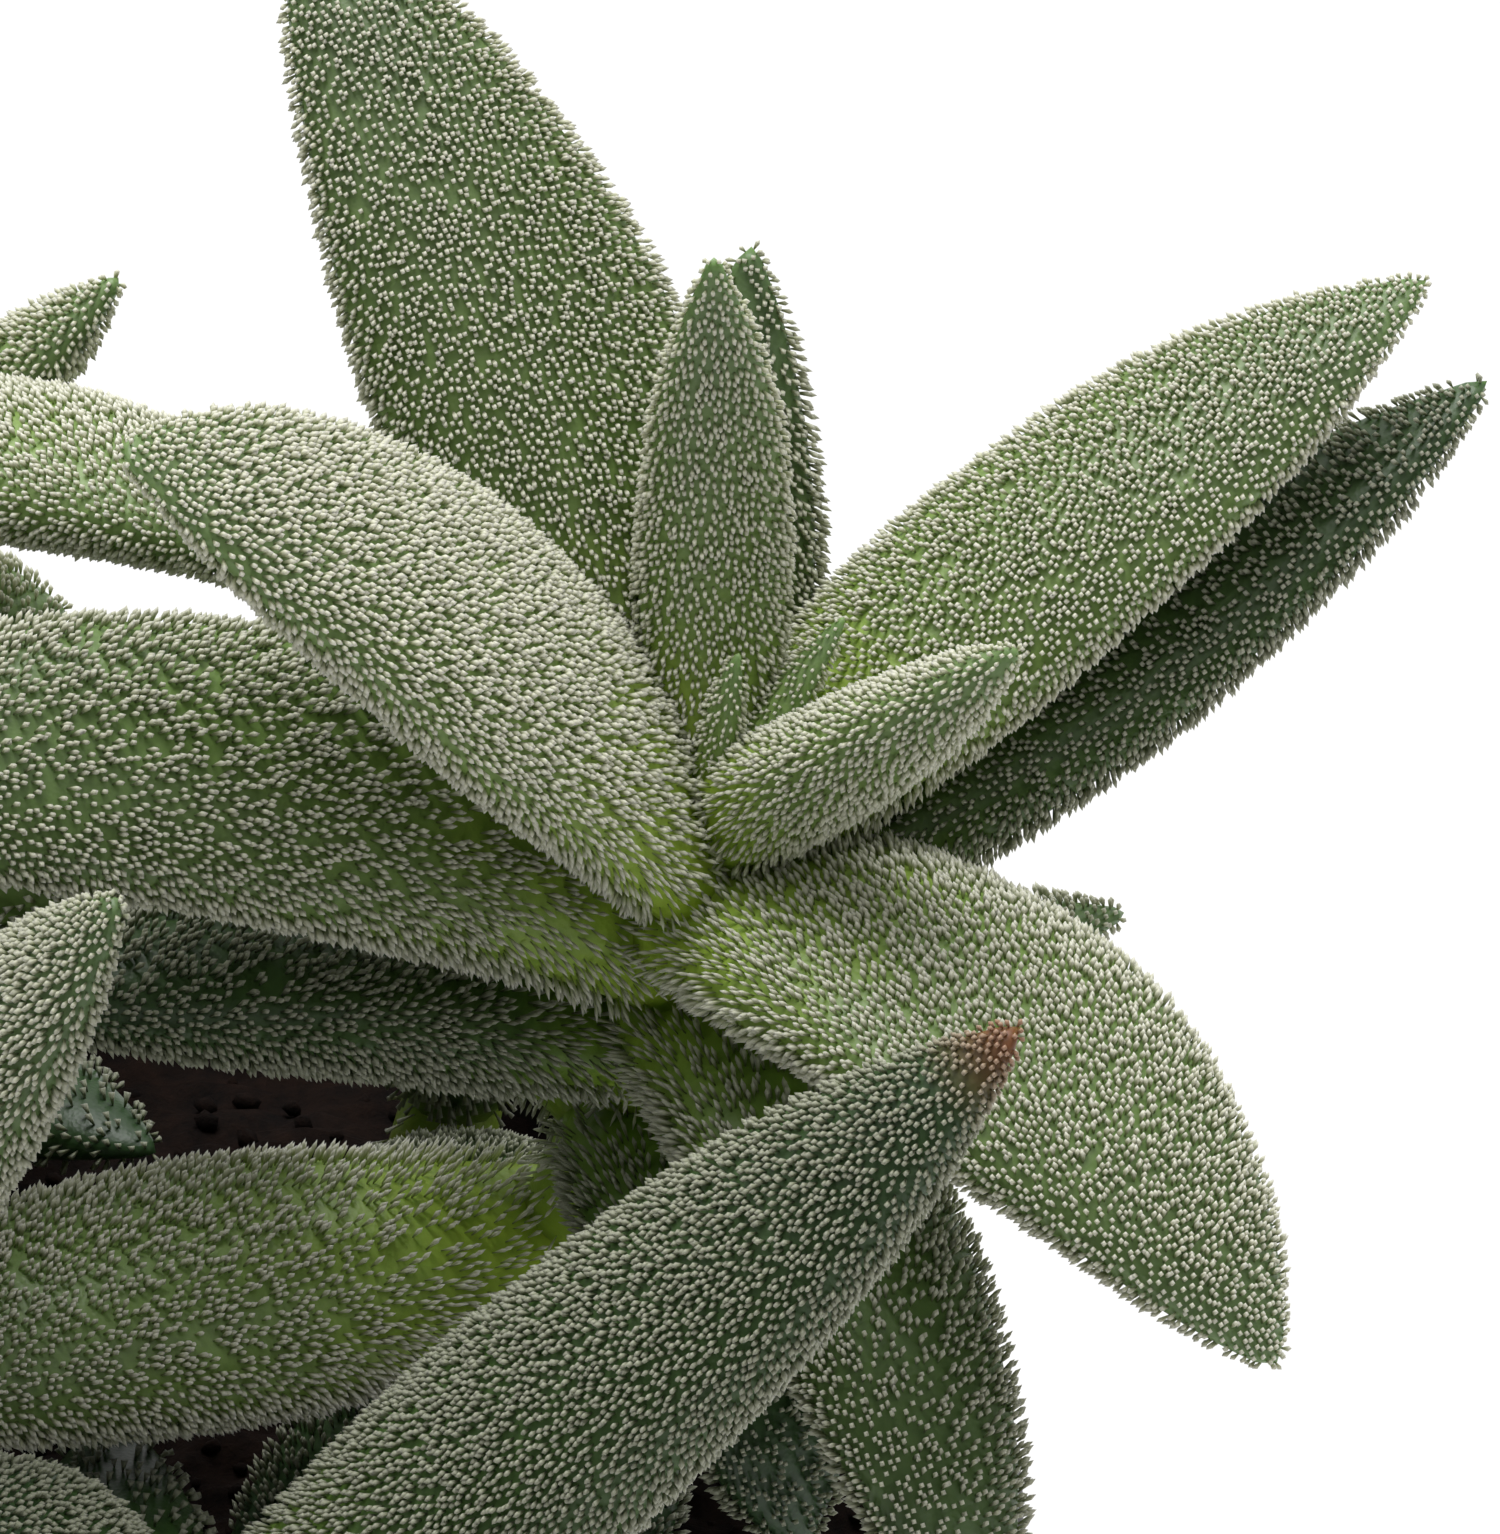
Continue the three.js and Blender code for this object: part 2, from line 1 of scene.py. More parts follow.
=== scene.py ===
"""A potted Crassula mesembryanthemoides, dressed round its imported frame, for Blender 4.5.

Seven leafy stems stand in a small nursery pot of peat. Their leaves are thick,
pointed and set in crossed pairs, and a close coat of pale bristles covers them.
The leaves follow the same rule and sizes as the solids in the frame, with finer
meshes. Sizes are in millimetres until a mesh is made, and in metres from then on.
"""

import json
import logging
import math
import random
from dataclasses import dataclass, replace
from enum import Enum
from typing import ClassVar

import bmesh
import bpy
import numpy as np
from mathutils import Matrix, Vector, noise

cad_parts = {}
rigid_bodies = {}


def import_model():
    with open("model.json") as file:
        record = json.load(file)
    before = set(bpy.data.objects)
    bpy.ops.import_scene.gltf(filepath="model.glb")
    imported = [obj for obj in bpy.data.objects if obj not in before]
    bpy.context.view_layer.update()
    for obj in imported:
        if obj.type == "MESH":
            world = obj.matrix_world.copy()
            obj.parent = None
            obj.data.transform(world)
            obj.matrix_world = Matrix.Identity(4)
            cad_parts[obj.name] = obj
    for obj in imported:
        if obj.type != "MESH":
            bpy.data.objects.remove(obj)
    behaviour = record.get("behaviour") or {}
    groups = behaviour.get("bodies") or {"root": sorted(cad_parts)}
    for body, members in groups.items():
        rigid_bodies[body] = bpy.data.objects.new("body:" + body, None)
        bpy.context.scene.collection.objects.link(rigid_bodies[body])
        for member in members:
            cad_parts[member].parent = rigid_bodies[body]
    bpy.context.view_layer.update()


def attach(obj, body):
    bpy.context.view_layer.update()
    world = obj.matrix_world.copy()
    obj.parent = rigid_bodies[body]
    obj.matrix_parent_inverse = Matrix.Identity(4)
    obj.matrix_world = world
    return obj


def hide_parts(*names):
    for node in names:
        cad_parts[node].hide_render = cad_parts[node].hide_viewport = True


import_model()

LOG = logging.getLogger("potted_crassula")

MM = 0.001
BODY = "root"

# Names of the values that the leaf meshes carry on their points
TOWARD_TIP = "toward_tip"
RUN = "run"
COAT_SHARE = "coat_share"
COAT_LENGTH = "coat_length"
COAT_GIRTH = "coat_girth"
RUST = "rust"
BARK = "bark"
# How old and how shaded a leaf is painted, from 0 to 1: darker, duller colours for age and for
# painted shade
AGE_AND_SHADE = "tone"
BAKE_MAP = "OFBake"

# Pairs from the tip of a stem downwards: distance from the tip (mm), size,
# pitch and curl (degrees)
PAIR_DISTANCES = (0.2, 1.6, 3.2, 5, 7, 9.6, 11.8, 15.8, 23.5, 26.5, 29.5)
PAIR_SIZES = (0.22, 0.58, 0.86, 1, 1, 0.96, 0.9, 0.82, 0.75)
PAIR_PITCHES = (76, 62, 50, 38, 27, 17, 7, -3, -12)
PAIR_CURLS = (6, 4, -8, -12, -16, -20, -26, -32, -36)

# How the coat changes from the youngest pair down to the oldest: the length and
# girth of its bristles, and how many grow in the middle of each face, as shares
COAT_LENGTHS = (0.56, 0.76, 0.88, 0.94, 1.08, 1.14)
COAT_GIRTHS = (0.72, 0.92, 1.0, 1.0, 1.0, 1.0)
COAT_MIDDLES = (1.0, 1.0, 1.0, 0.96, 0.66, 0.6)

# How a grown leaf gives way until it is clear, the least first: turned up,
# turned round (degrees) and its length as a share
GIVING_WAY = (
    (0, 0, 1), (8, 0, 1), (-8, 0, 1), (0, 10, 1), (0, -10, 1), (16, 0, 0.96), (-16, 0, 0.96),
    (10, 14, 0.92), (10, -14, 0.92), (24, 0, 0.9), (-22, 0, 0.88), (0, 22, 0.84), (0, -22, 0.84),
    (30, 0, 0.76), (-10, 16, 0.74), (-10, -16, 0.74), (0, 0, 0.66), (18, 0, 0.6),
)


@dataclass(frozen=True)
class LeafDetail:
    """How finely a leaf's skin is divided, and how close its coat of bristles is."""

    stations: int
    sides: int
    coat_share: float


class Nearness(Enum):
    """Whether a leaf shows in the close view, or only from further away."""

    SHOWN = LeafDetail(stations=26, sides=24, coat_share=1.0)
    GROWN = LeafDetail(stations=15, sides=14, coat_share=0.62)


@dataclass(frozen=True)
class LeafForm:
    """The form that all leaves share, and the rule by which they grow."""

    base_share: float = 0.56
    widest_at: float = 0.45
    outline_power: float = 0.85
    root_thickness_share: float = 0.8
    full_thickness_at: float = 0.3
    thinning_power: float = 2.6
    point_power: float = 0.7
    upper_share: float = 0.44
    root_sink: float = 0.5
    curve_pieces: int = 24
    coat_depth: float = 0.2
    least_width: float = 1.0
    slenderness: float = 0.33
    least_thickness: float = 0.9
    fatness: float = 0.185
    turn_spread: float = 9.0
    pitch_spread: float = 6.0
    size_spread: float = 0.08
    lean_effect: float = 0.7
    clearance: float = 0.45
    guard_stations: tuple[float, ...] = (0.1, 0.21, 0.32, 0.43, 0.54, 0.65, 0.76, 0.87, 0.96)

    def width_at(self, run: float) -> float:
        """Half-width at run, 0 at the base and 1 at the tip, as a share of the greatest."""
        if run < self.widest_at:
            swell = math.sin(run / self.widest_at * math.pi / 2)
            return self.base_share + (1 - self.base_share) * swell
        past = (run - self.widest_at) / (1 - self.widest_at)
        return max(0.0, 1 - past * past) ** self.outline_power

    def thickness_at(self, run: float) -> float:
        """Thickness at run, as a share of the greatest."""
        swell = math.sin(min(1.0, run / self.full_thickness_at) * math.pi / 2)
        root = self.root_thickness_share + (1 - self.root_thickness_share) * swell
        return root * max(0.0, 1 - run**self.thinning_power) ** self.point_power


@dataclass(frozen=True)
class SkinForm:
    """How a leaf's skin is drawn, and how its coat changes; places run from 0 to 1."""

    last_ring: float = 0.98
    tip: float = 0.985
    ring_crowding: float = 1.35
    least_share: float = 0.7
    # Low swellings: height as a share, waves along, waves round and shift by the leaf's
    # age-and-shade value
    swellings: tuple[tuple[float, ...], ...] = ((0.018, 7.0, 3, 9), (0.014, 17.0, -2, 23))
    least_wear: float = 0.02
    margin_power: float = 2.5
    base_reach: float = 0.36
    bare_base: float = 0.03
    bare_fade: float = 0.05
    base_thinning: float = 0.6
    rust_thinning: float = 0.1
    base_lengthening: float = 0.35
    margin_lengthening: float = 0.55
    tip_shortening: float = 0.4
    tip_from: float = 0.84
    tip_fade: float = 0.12
    girth_power: float = 0.8


@dataclass(frozen=True)
class StemForm:
    """The form that all stems share."""

    foot_radius: float = 2.1
    top_radius: float = 1.2
    root_depth: float = 9.0
    straight: float = 1.5
    curve_steps: int = 48
    guard_step: int = 4
    rings: int = 26
    sides: int = 16
    look_ahead: float = 0.02
    knot_height: float = 0.05
    bark_fade: float = 2.6
    skin_run: float = 0.12
    coat_share: float = 0.3
    coat_length: float = 1.6
    coat_girth: float = 0.7
    # The stalk's age and painted shade, which darkens and dulls its colour
    tone: float = 0.3


@dataclass(frozen=True)
class Pot:
    """The moulded nursery pot, plain and tapered, with a rim band and drain holes."""

    height: float = 58.0
    base_radius: float = 23.5
    body_top_radius: float = 30.9
    rim_radius: float = 32.5
    wall: float = 1.4
    floor: float = 1.8
    band_height: float = 8.0
    rim_thickness: float = 2.2
    rim_edge: float = 0.5
    foot_chamfer: float = 1.0
    drain_holes: int = 6
    drain_radius: float = 2.6
    drain_ring_radius: float = 15.5
    drain_sides: int = 28
    sides: int = 112
    arc_steps: int = 5
    most_cut: float = 0.45
    sharp_angle: float = 40.0

    def inside_radius(self, z: float) -> float:
        """The inside radius at a height."""
        foot = self.base_radius - self.wall
        share = (z - self.floor) / (self.height - self.floor)
        return foot + (self.rim_radius - self.rim_thickness - foot) * share

    def corners(self) -> list[tuple[float, float, float]]:
        """The outline's corners from the middle of the underside round to the inside floor.

        Returns:
            Radius, height and the size of the rounding at each corner.
        """
        bottom = self.height - self.band_height
        edge = self.rim_edge
        return [
            (self.base_radius - self.foot_chamfer, 0.0, 0.3),
            (self.base_radius, self.foot_chamfer, 0.4),
            (self.body_top_radius, bottom, 0.25),
            (self.rim_radius - edge, bottom + edge, 0.35),
            (self.rim_radius, self.height - edge, 0.3),
            (self.rim_radius - edge, self.height, 0.3),
            (self.rim_radius - self.rim_thickness, self.height, 0.45),
            (self.base_radius - self.wall, self.floor, 0.9),
        ]

    def outline(self) -> list[tuple[float, float]]:
        """The outline with every corner rounded by a short arc.

        Returns:
            Radius and height of each point.
        """
        corners = self.corners()
        ends = [(0.0, 0.0), *[(r, z) for r, z, _ in corners], (0.0, self.floor)]
        points: list[tuple[float, float]] = [(1.0, 0.0)]
        for i, (radius, height, cut) in enumerate(corners):
            here = np.array((radius, height))
            before = np.array(ends[i]) - here
            after = np.array(ends[i + 2]) - here
            reach_before, reach_after = np.linalg.norm(before), np.linalg.norm(after)
            start = here + before / reach_before * min(cut, reach_before * self.most_cut)
            stop = here + after / reach_after * min(cut, reach_after * self.most_cut)
            for step in range(self.arc_steps + 1):
                t = step / self.arc_steps
                spot = start * (1 - t) ** 2 + here * 2 * t * (1 - t) + stop * t * t
                points.append((float(spot[0]), float(spot[1])))
        points.append((1.0, self.floor))
        return points

    def build(self, material: bpy.types.Material) -> bpy.types.Object:
        """Turns the outline round its axis and cuts the drain holes.

        Args:
            material: The pot's plastic.

        Returns:
            The pot as one plain mesh.
        """
        shells = Shells()
        rings = np.array([level_ring(0, 0, z, radius, self.sides) for radius, z in self.outline()])
        shells.add_tube(rings, None, {})
        turned = shells.build("pot_turned", material)
        for i in range(self.drain_holes):
            angle = 2 * math.pi * i / self.drain_holes
            x = self.drain_ring_radius * math.cos(angle)
            y = self.drain_ring_radius * math.sin(angle)
            cutter = Shells()
            spans = (-1.0, self.floor + 1.0)
            ends = [level_ring(x, y, z, self.drain_radius, self.drain_sides) for z in spans]
            cutter.add_tube(np.array(ends), None, {})
            drill = cutter.build(f"drain_drill_{i}", material)
            cut = turned.modifiers.new(f"drain_{i}", "BOOLEAN")
            cut.operation = "DIFFERENCE"
            cut.solver = "EXACT"
            cut.object = drill
        pot = plain_copy(turned, "nursery_pot")
        drills = [bpy.data.objects[f"drain_drill_{i}"] for i in range(self.drain_holes)]
        for extra in (turned, *drills):
            discard(extra)
        smooth_by_angle(pot, self.sharp_angle)
        return pot


@dataclass(frozen=True)
class Stem:
    """One leafy stem: its line, the leaves placed on it and the rule for the rest.

    A row of placed is a leaf's pair counted from the tip, its compass direction,
    pitch, curl, length, width, thickness and roll (degrees and millimetres).
    """

    name: str
    foot: tuple[float, float]
    top: tuple[float, float, float]
    lean: tuple[float, float, float]
    rise: float
    reach: float
    placed: tuple[tuple[float, ...], ...] = ()
    pairs: int = 0
    first_turn: float = 0.0
    leaf_length: float = 0.0
    seed: int = 0


STEMS = (
    Stem(
        "leafy_stem_1", (15.5, 2.5), (22.1, -4.9, 90.1), (0.12, -0.15, 0.96), 12, 18,
        placed=(
            (1, 205, 98, 6, 5.6, 2.0, 1.6, 0),
            (1, 30, 42, 7, 7.5, 2.0, 1.7, 0),
            (2, 331, 41, 4, 15.6, 4.6, 4.1, -15),
            (2, 85, 62, 34, 20, 5.0, 3.2, 10),
            (3, 201, 62, -30, 28, 10.8, 4.4, -27),
            (3, 30, 36, -20, 30.8, 8.2, 4.6, 14),
            (4, 323, 18, -74, 26.6, 11.2, 4.8, 0),
            (4, 124, 69, -40, 35.6, 10.4, 5.2, -16),
            (5, 195, 46, -54, 37, 9.6, 5.4, -38),
            (5, 25, 22, 6, 32.4, 7.6, 4.6, 8),
            (6, 302, 5, -85, 27, 7.8, 4.4, 0),
            (6, 76, 58, 6, 24.8, 7.2, 4.4, 0),
            (7, 196, 29, -29, 24.5, 6.8, 4.6, -13),
            (7, 22, 5, -8, 17.4, 5.6, 4.0, 0),
            (8, 300, -2, -80, 17.5, 8.0, 4.2, 0),
            (8, 120, 24, -10, 20, 7.2, 4.4, 0),
            (9, 200, 7, -8, 31, 9.6, 5.8, -20),
            (9, 20, -10, -30, 14, 6.4, 4.2, 0),
            (10, 112, 0, -40, 17, 6.6, 4.2, 0),
            (10, 290, -15, -30, 12, 6, 4, 0),
            (11, 30, 5, -40, 11, 5.2, 3.6, 0),
            (11, 208, -6, -30, 13, 5.6, 3.8, 0),
        ),
    ),
    Stem(
        "leafy_stem_2", (1, -14), (5.5, -25.5, 69.5), (0.1, -0.3, 0.94), 4, 6,
        placed=(
            (2, 100, 20, 0, 6, 3, 2.4, 0),
            (3, 5, 45, 0, 38.5, 8.6, 5.8, 34),
            (3, 185, 82, -62, 15, 9, 5.6, -20),
            (4, 105, 0, -10, 13, 6, 4, 0),
            (5, 15, 0, -20, 17, 7, 4.4, 0),
        ),
        pairs=6, first_turn=10, leaf_length=21, seed=11,
    ),
    Stem(
        "leafy_stem_3", (-9, -8), (-9.6, -17.2, 79.6), (-0.05, -0.25, 0.96), 6, 8,
        placed=(
            (3, 344, 50, 8, 26, 8.2, 4.8, 35),
            (5, 345, -10, -20, 12, 6, 4, 0),
        ),
        pairs=9, first_turn=168, leaf_length=22, seed=23,
    ),
    Stem(
        "leafy_stem_4", (-6, 6), (-9.5, 7.5, 97), (-0.1, 0.06, 0.99), 12, 14,
        placed=(
            (3, 340, 30, -60, 24, 7.4, 4.6, -5),
            (4, 10, 18, 28, 15.5, 4.8, 4.0, 0),
            (5, 10, -12, -6, 11, 6, 4.2, 0),
            (5, 80, -5, -16, 18, 7, 4.6, 0),
            (6, 344, -6, -20, 18, 7, 4.6, 0),
        ),
        pairs=9, first_turn=250, leaf_length=23, seed=37,
    ),
    Stem(
        "leafy_stem_5", (-17, -1), (-26, -3, 80), (-0.3, -0.08, 0.94), 6, 10,
        pairs=9, first_turn=60, leaf_length=21, seed=41,
    ),
    Stem(
        "leafy_stem_6", (-8, 17), (-13, 23, 70), (-0.25, 0.3, 0.92), 5, 6,
        pairs=7, first_turn=60, leaf_length=19, seed=53,
    ),
    Stem(
        "leafy_stem_7", (12, 17), (15, 21, 67), (0.15, 0.25, 0.95), 3, 4,
        pairs=5, first_turn=80, leaf_length=16, seed=67,
    ),
)

# Leaves with a withered tip: stem, pair and compass direction, and the share of
# the leaf's length that has turned rust-brown
WITHERED = {("leafy_stem_2", 3, 5): 0.09}

# Leaves whose age and painted shade, from 0 to 1, don't follow from their height alone: the higher
# the value, the darker and duller the leaf is painted, as age and as shade
OWN_AGES_AND_SHADES = {
    ("leafy_stem_1", 3, 201): 0.0,
    ("leafy_stem_1", 5, 195): 0.35,
    ("leafy_stem_1", 5, 25): 0.8,
    ("leafy_stem_1", 6, 302): 0.6,
    ("leafy_stem_1", 7, 196): 0.9,
    ("leafy_stem_1", 8, 300): 1.0,
    ("leafy_stem_1", 9, 200): 0.05,
    ("leafy_stem_2", 3, 5): 0.9,
}


def direction(azimuth: float, pitch: float) -> np.ndarray:
    """A direction in space from a compass angle and a pitch, in degrees."""
    flat = math.cos(math.radians(pitch))
    turn = math.radians(azimuth)
    return np.array((flat * math.cos(turn), flat * math.sin(turn), math.sin(math.radians(pitch))))


def level_ring(x: float, y: float, z: float, radius: float, count: int) -> np.ndarray:
    """The points of a level circle."""
    angles = 2 * math.pi * np.arange(count) / count
    ring = (x + radius * np.cos(angles), y + radius * np.sin(angles), np.full(count, z))
    return np.stack(ring, axis=1)


def linear(code: str) -> tuple[float, float, float, float]:
    """An sRGB hex colour as linear red, green, blue and alpha."""
    parts = [int(code[i : i + 2], 16) / 255 for i in (1, 3, 5)]
    light = [p / 12.92 if p <= 0.04045 else ((p + 0.055) / 1.055) ** 2.4 for p in parts]
    return (light[0], light[1], light[2], 1.0)


def add_node(
    tree: bpy.types.NodeTree,
    kind: str,
    settings: dict[str, object] | None = None,
    inputs: dict[str | int, object] | None = None,
) -> bpy.types.Node:
    """Adds a node to a tree, with its settings, values and links.

    Args:
        tree: The tree that the node is added to.
        kind: The node's type name.
        settings: Properties of the node itself.
        inputs: For each input, by name or number, a value or a socket to link from.

    Returns:
        The new node.
    """
    node = tree.nodes.new(kind)
    for name, value in (settings or {}).items():
        setattr(node, name, value)
    for key, value in (inputs or {}).items():
        if isinstance(value, bpy.types.NodeSocket):
            tree.links.new(value, node.inputs[key])
        else:
            node.inputs[key].default_value = value
    return node


def new_material(name: str) -> tuple[bpy.types.Material, bpy.types.NodeTree]:
    """A material with an empty node tree, and the tree."""
    material = bpy.data.materials.new(name)
    material.use_nodes = True
    material.node_tree.nodes.clear()
    return material, material.node_tree


def add_surface(tree: bpy.types.NodeTree, inputs: dict[str | int, object]) -> None:
    """Adds the Principled shader with its inputs, and the output that it feeds."""
    shader = add_node(tree, "ShaderNodeBsdfPrincipled", {}, inputs)
    add_node(tree, "ShaderNodeOutputMaterial", {}, {"Surface": shader.outputs[0]})


def colour_ramp(node: bpy.types.Node, stops: list[tuple[float, str]]) -> None:
    """Sets the stops of a Color Ramp node from places and hex colours."""
    ramp = node.color_ramp
    while len(ramp.elements) < len(stops):
        ramp.elements.new(0.5)
    for element, (place, code) in zip(ramp.elements, stops):
        element.position = place
        element.color = linear(code)


def linked(name: str, data: bpy.types.ID) -> bpy.types.Object:
    """A new object with its data, linked to the scene."""
    made = bpy.data.objects.new(name, data)
    bpy.context.scene.collection.objects.link(made)
    return made


def plain_copy(source: bpy.types.Object, name: str) -> bpy.types.Object:
    """A new object with source's evaluated mesh, free of modifiers, named name."""
    graph = bpy.context.evaluated_depsgraph_get()
    mesh = bpy.data.meshes.new_from_object(source.evaluated_get(graph), depsgraph=graph)
    mesh.name = name
    return linked(name, mesh)


def discard(thing: bpy.types.Object) -> None:
    """Removes a helper object and its mesh."""
    mesh = thing.data
    bpy.data.objects.remove(thing)
    bpy.data.meshes.remove(mesh)


def smooth_by_angle(thing: bpy.types.Object, degrees: float) -> None:
    """Shades a mesh smooth, with the edges sharper than an angle kept sharp."""
    mesh = thing.data
    mesh.shade_smooth()
    mesh.set_sharp_from_angle(angle=math.radians(degrees))


def triangle_count(thing: bpy.types.Object) -> int:
    """The number of triangles that an object's mesh comes to."""
    return sum(len(face.vertices) - 2 for face in thing.data.polygons)


class Shells:
    """Closed shells gathered into one mesh, with named values on their points."""

    def __init__(self) -> None:
        """Starts with no shells."""
        self.points: list[np.ndarray] = []
        self.faces: list[tuple[int, ...]] = []
        self.values: dict[str, list[np.ndarray]] = {}
        self.count = 0

    def add_tube(
        self, rings: np.ndarray, tip: np.ndarray | None, values: dict[str, np.ndarray]
    ) -> None:
        """Adds a shell that runs through rings of points, closed at both ends.

        Args:
            rings: The points, by ring, place in the ring and axis.
            tip: The point that closes the far end, or None for a flat end.
            values: For each name, a number or vector for each ring or each point.
        """
        rows, sides = rings.shape[:2]
        first = self.count
        for i in range(rows - 1):
            low = first + i * sides
            for k in range(sides):
                beside = (k + 1) % sides
                self.faces.append((low + k, low + beside, low + sides + beside, low + sides + k))
        self.faces.append(tuple(first + k for k in reversed(range(sides))))
        last = first + (rows - 1) * sides
        made = rings.reshape(-1, 3)
        if tip is None:
            self.faces.append(tuple(last + k for k in range(sides)))
        else:
            end = last + sides
            self.faces.extend((last + k, last + (k + 1) % sides, end) for k in range(sides))
            made = np.vstack((made, tip))
        self.points.append(made)
        for name, rows_of_values in values.items():
            spread = np.asarray(rows_of_values, dtype=float)
            if len(spread) == rows:
                spread = np.repeat(spread, sides, axis=0)
            if tip is not None:
                spread = np.concatenate((spread, spread[-1:]))
            self.values.setdefault(name, []).append(spread)
        self.count += len(made)

    def build(self, name: str, material: bpy.types.Material | None) -> bpy.types.Object:
        """Makes the mesh object, in metres.

        Args:
            name: The object's name.
            material: Its material, if it has one.

        Returns:
            The object, linked to the scene.
        """
        mesh = bpy.data.meshes.new(name)
        mesh.from_pydata((np.vstack(self.points) * MM).tolist(), [], self.faces)
        for value_name, pieces in self.values.items():
            joined = np.concatenate(pieces)
            kind = "FLOAT_VECTOR" if joined.ndim == 2 else "FLOAT"
            layer = mesh.attributes.new(value_name, kind, "POINT")
            layer.data.foreach_set("vector" if joined.ndim == 2 else "value", joined.ravel())
        mesh.shade_smooth()
        if material is not None:
            mesh.materials.append(material)
        return linked(name, mesh)


class Draw:
    """Random numbers from 0 to 1, the same each time for the same seed."""

    FACTOR = 16807
    RANGE = 2147483647
    SEED_FACTOR = 7919

    def __init__(self, seed: int) -> None:
        """Starts the row of numbers at a seed."""
        self.state = seed * self.SEED_FACTOR

    def next(self) -> float:
        """The next number."""
        self.state = self.state * self.FACTOR % self.RANGE
        return self.state / self.RANGE


@dataclass(frozen=True)
class Section:
    """A leaf's cross-section: its middle, and the leaf's own axes there."""

    point: np.ndarray
    along: np.ndarray
    side: np.ndarray
    up: np.ndarray


@dataclass(frozen=True)
class Leaf:
    """One leaf, thick and pointed, which curves as it runs from its stem."""

    form: LeafForm
    pair: int
    base: np.ndarray
    azimuth: float
    pitch: float
    curl: float
    length: float
    width: float
    thickness: float
    roll: float
    nearness: Nearness
    withered: float = 0.0
    own_age_and_shade: float | None = None

    def section(self, run: float) -> Section:
        """The cross-section at run, 0 at the base and 1 at the tip."""
        step = run / self.form.curve_pieces
        middles = (np.arange(self.form.curve_pieces) + 0.5) * step
        pitches = np.radians(self.pitch + self.curl * middles)
        out = float(np.cos(pitches).sum()) * self.length * step
        rise = float(np.sin(pitches).sum()) * self.length * step
        level_out = direction(self.azimuth, 0)
        point = self.base - direction(self.azimuth, self.pitch) * self.form.root_sink
        point = point + level_out * out + np.array((0, 0, rise))
        along = direction(self.azimuth, self.pitch + self.curl * run)
        level = direction(self.azimuth + 90, 0)
        over = np.cross(along, level)
        turn = math.radians(self.roll)
        side = level * math.cos(turn) + over * math.sin(turn)
        up = over * math.cos(turn) - level * math.sin(turn)
        return Section(point, along, side, up)

    def half_width(self, run: float) -> float:
        """Half the leaf's width at run."""
        return self.width * 0.5 * self.form.width_at(run)

    def thickness_at(self, run: float) -> float:
        """The leaf's thickness at run."""
        return self.thickness * self.form.thickness_at(run)

    def balls(self) -> tuple[np.ndarray, np.ndarray]:
        """The balls that stand for the leaf when it is kept clear of others.

        Returns:
            Their centres and their radii.
        """
        centres, radii = [], []
        for run in self.form.guard_stations:
            here = self.section(run)
            radius = self.thickness_at(run) * (1 - self.form.upper_share)
            out = max(0.0, self.half_width(run) - radius)
            for offset in (-out, 0.0, out):
                centres.append(here.point + here.side * offset)
                radii.append(radius)
        return np.array(centres), np.array(radii)

    def add_skin(self, shells: Shells, tone: float) -> None:
        """Adds the leaf's skin to shells, a little inside the leaf's full form.

        Args:
            shells: The mesh that is being gathered.
            tone: How far the leaf is painted old and in shade, from 0 for young and lit to 1 for
                old and shaded.
        """
        detail, form, skin = self.nearness.value, self.form, SkinForm()
        steps = np.linspace(0, 1, detail.stations + 1)[:-1]
        runs = skin.last_ring * (1 - (1 - steps) ** skin.ring_crowding)
        angles = 2 * math.pi * np.arange(detail.sides) / detail.sides
        shares = np.where(np.sin(angles) > 0, form.upper_share, 1 - form.upper_share)
        rings, tangents = [], []
        for run in runs:
            here = self.section(float(run))
            half, thick = self.half_width(float(run)), self.thickness_at(float(run))
            half = max(skin.least_share * half, half - form.coat_depth)
            thick = max(skin.least_share * thick, thick - 2 * form.coat_depth)
            swell = np.ones(detail.sides)
            for height, waves, lobes, shift in skin.swellings:
                swell += height * np.sin(waves * run + lobes * angles + shift * tone)
            wide = (half * swell * np.cos(angles))[:, None] * here.side
            high = (thick * shares * swell * np.sin(angles))[:, None] * here.up
            rings.append(here.point + wide + high)
            tangents.append(here.along)
        worn = max(self.withered, skin.least_wear)
        rust = np.clip((runs - 1 + worn) / worn, 0, 1) * float(self.withered > 0)
        age = min(self.pair, len(COAT_LENGTHS)) - 1
        margin = np.abs(np.cos(angles)) ** skin.margin_power
        near_base = np.clip(1 - runs / skin.base_reach, 0, 1)
        across = COAT_MIDDLES[age] + (1 - COAT_MIDDLES[age]) * margin
        rooted = np.clip((runs - skin.bare_base) / skin.bare_fade, 0, 1)
        rooted = rooted * (1 - skin.base_thinning * near_base) * (1 - skin.rust_thinning * rust)
        lengthening = skin.base_lengthening + skin.margin_lengthening * margin
        near_tip = np.clip((runs - skin.tip_from) / skin.tip_fade, 0, 1)
        drawn_out = 1 + lengthening * near_base[:, None]
        drawn_out -= skin.tip_shortening * near_tip[:, None]
        girths = COAT_GIRTHS[age] / np.maximum(drawn_out, 1) ** skin.girth_power
        shells.add_tube(
            np.array(rings),
            self.section(skin.tip).point,
            {
                TOWARD_TIP: np.array(tangents),
                RUN: runs,
                COAT_SHARE: (detail.coat_share * rooted[:, None] * across).ravel(),
                COAT_LENGTH: (COAT_LENGTHS[age] * drawn_out).ravel(),
                COAT_GIRTH: girths.ravel(),
                RUST: rust,
                BARK: np.zeros(len(runs)),
                AGE_AND_SHADE: np.full(len(runs), tone),
            },
        )

    def skin_area(self) -> float:
        """The area of the leaf's skin, roughly, in square millimetres."""
        return 2.1 * 0.74 * self.length * (self.width + 0.6 * self.thickness)


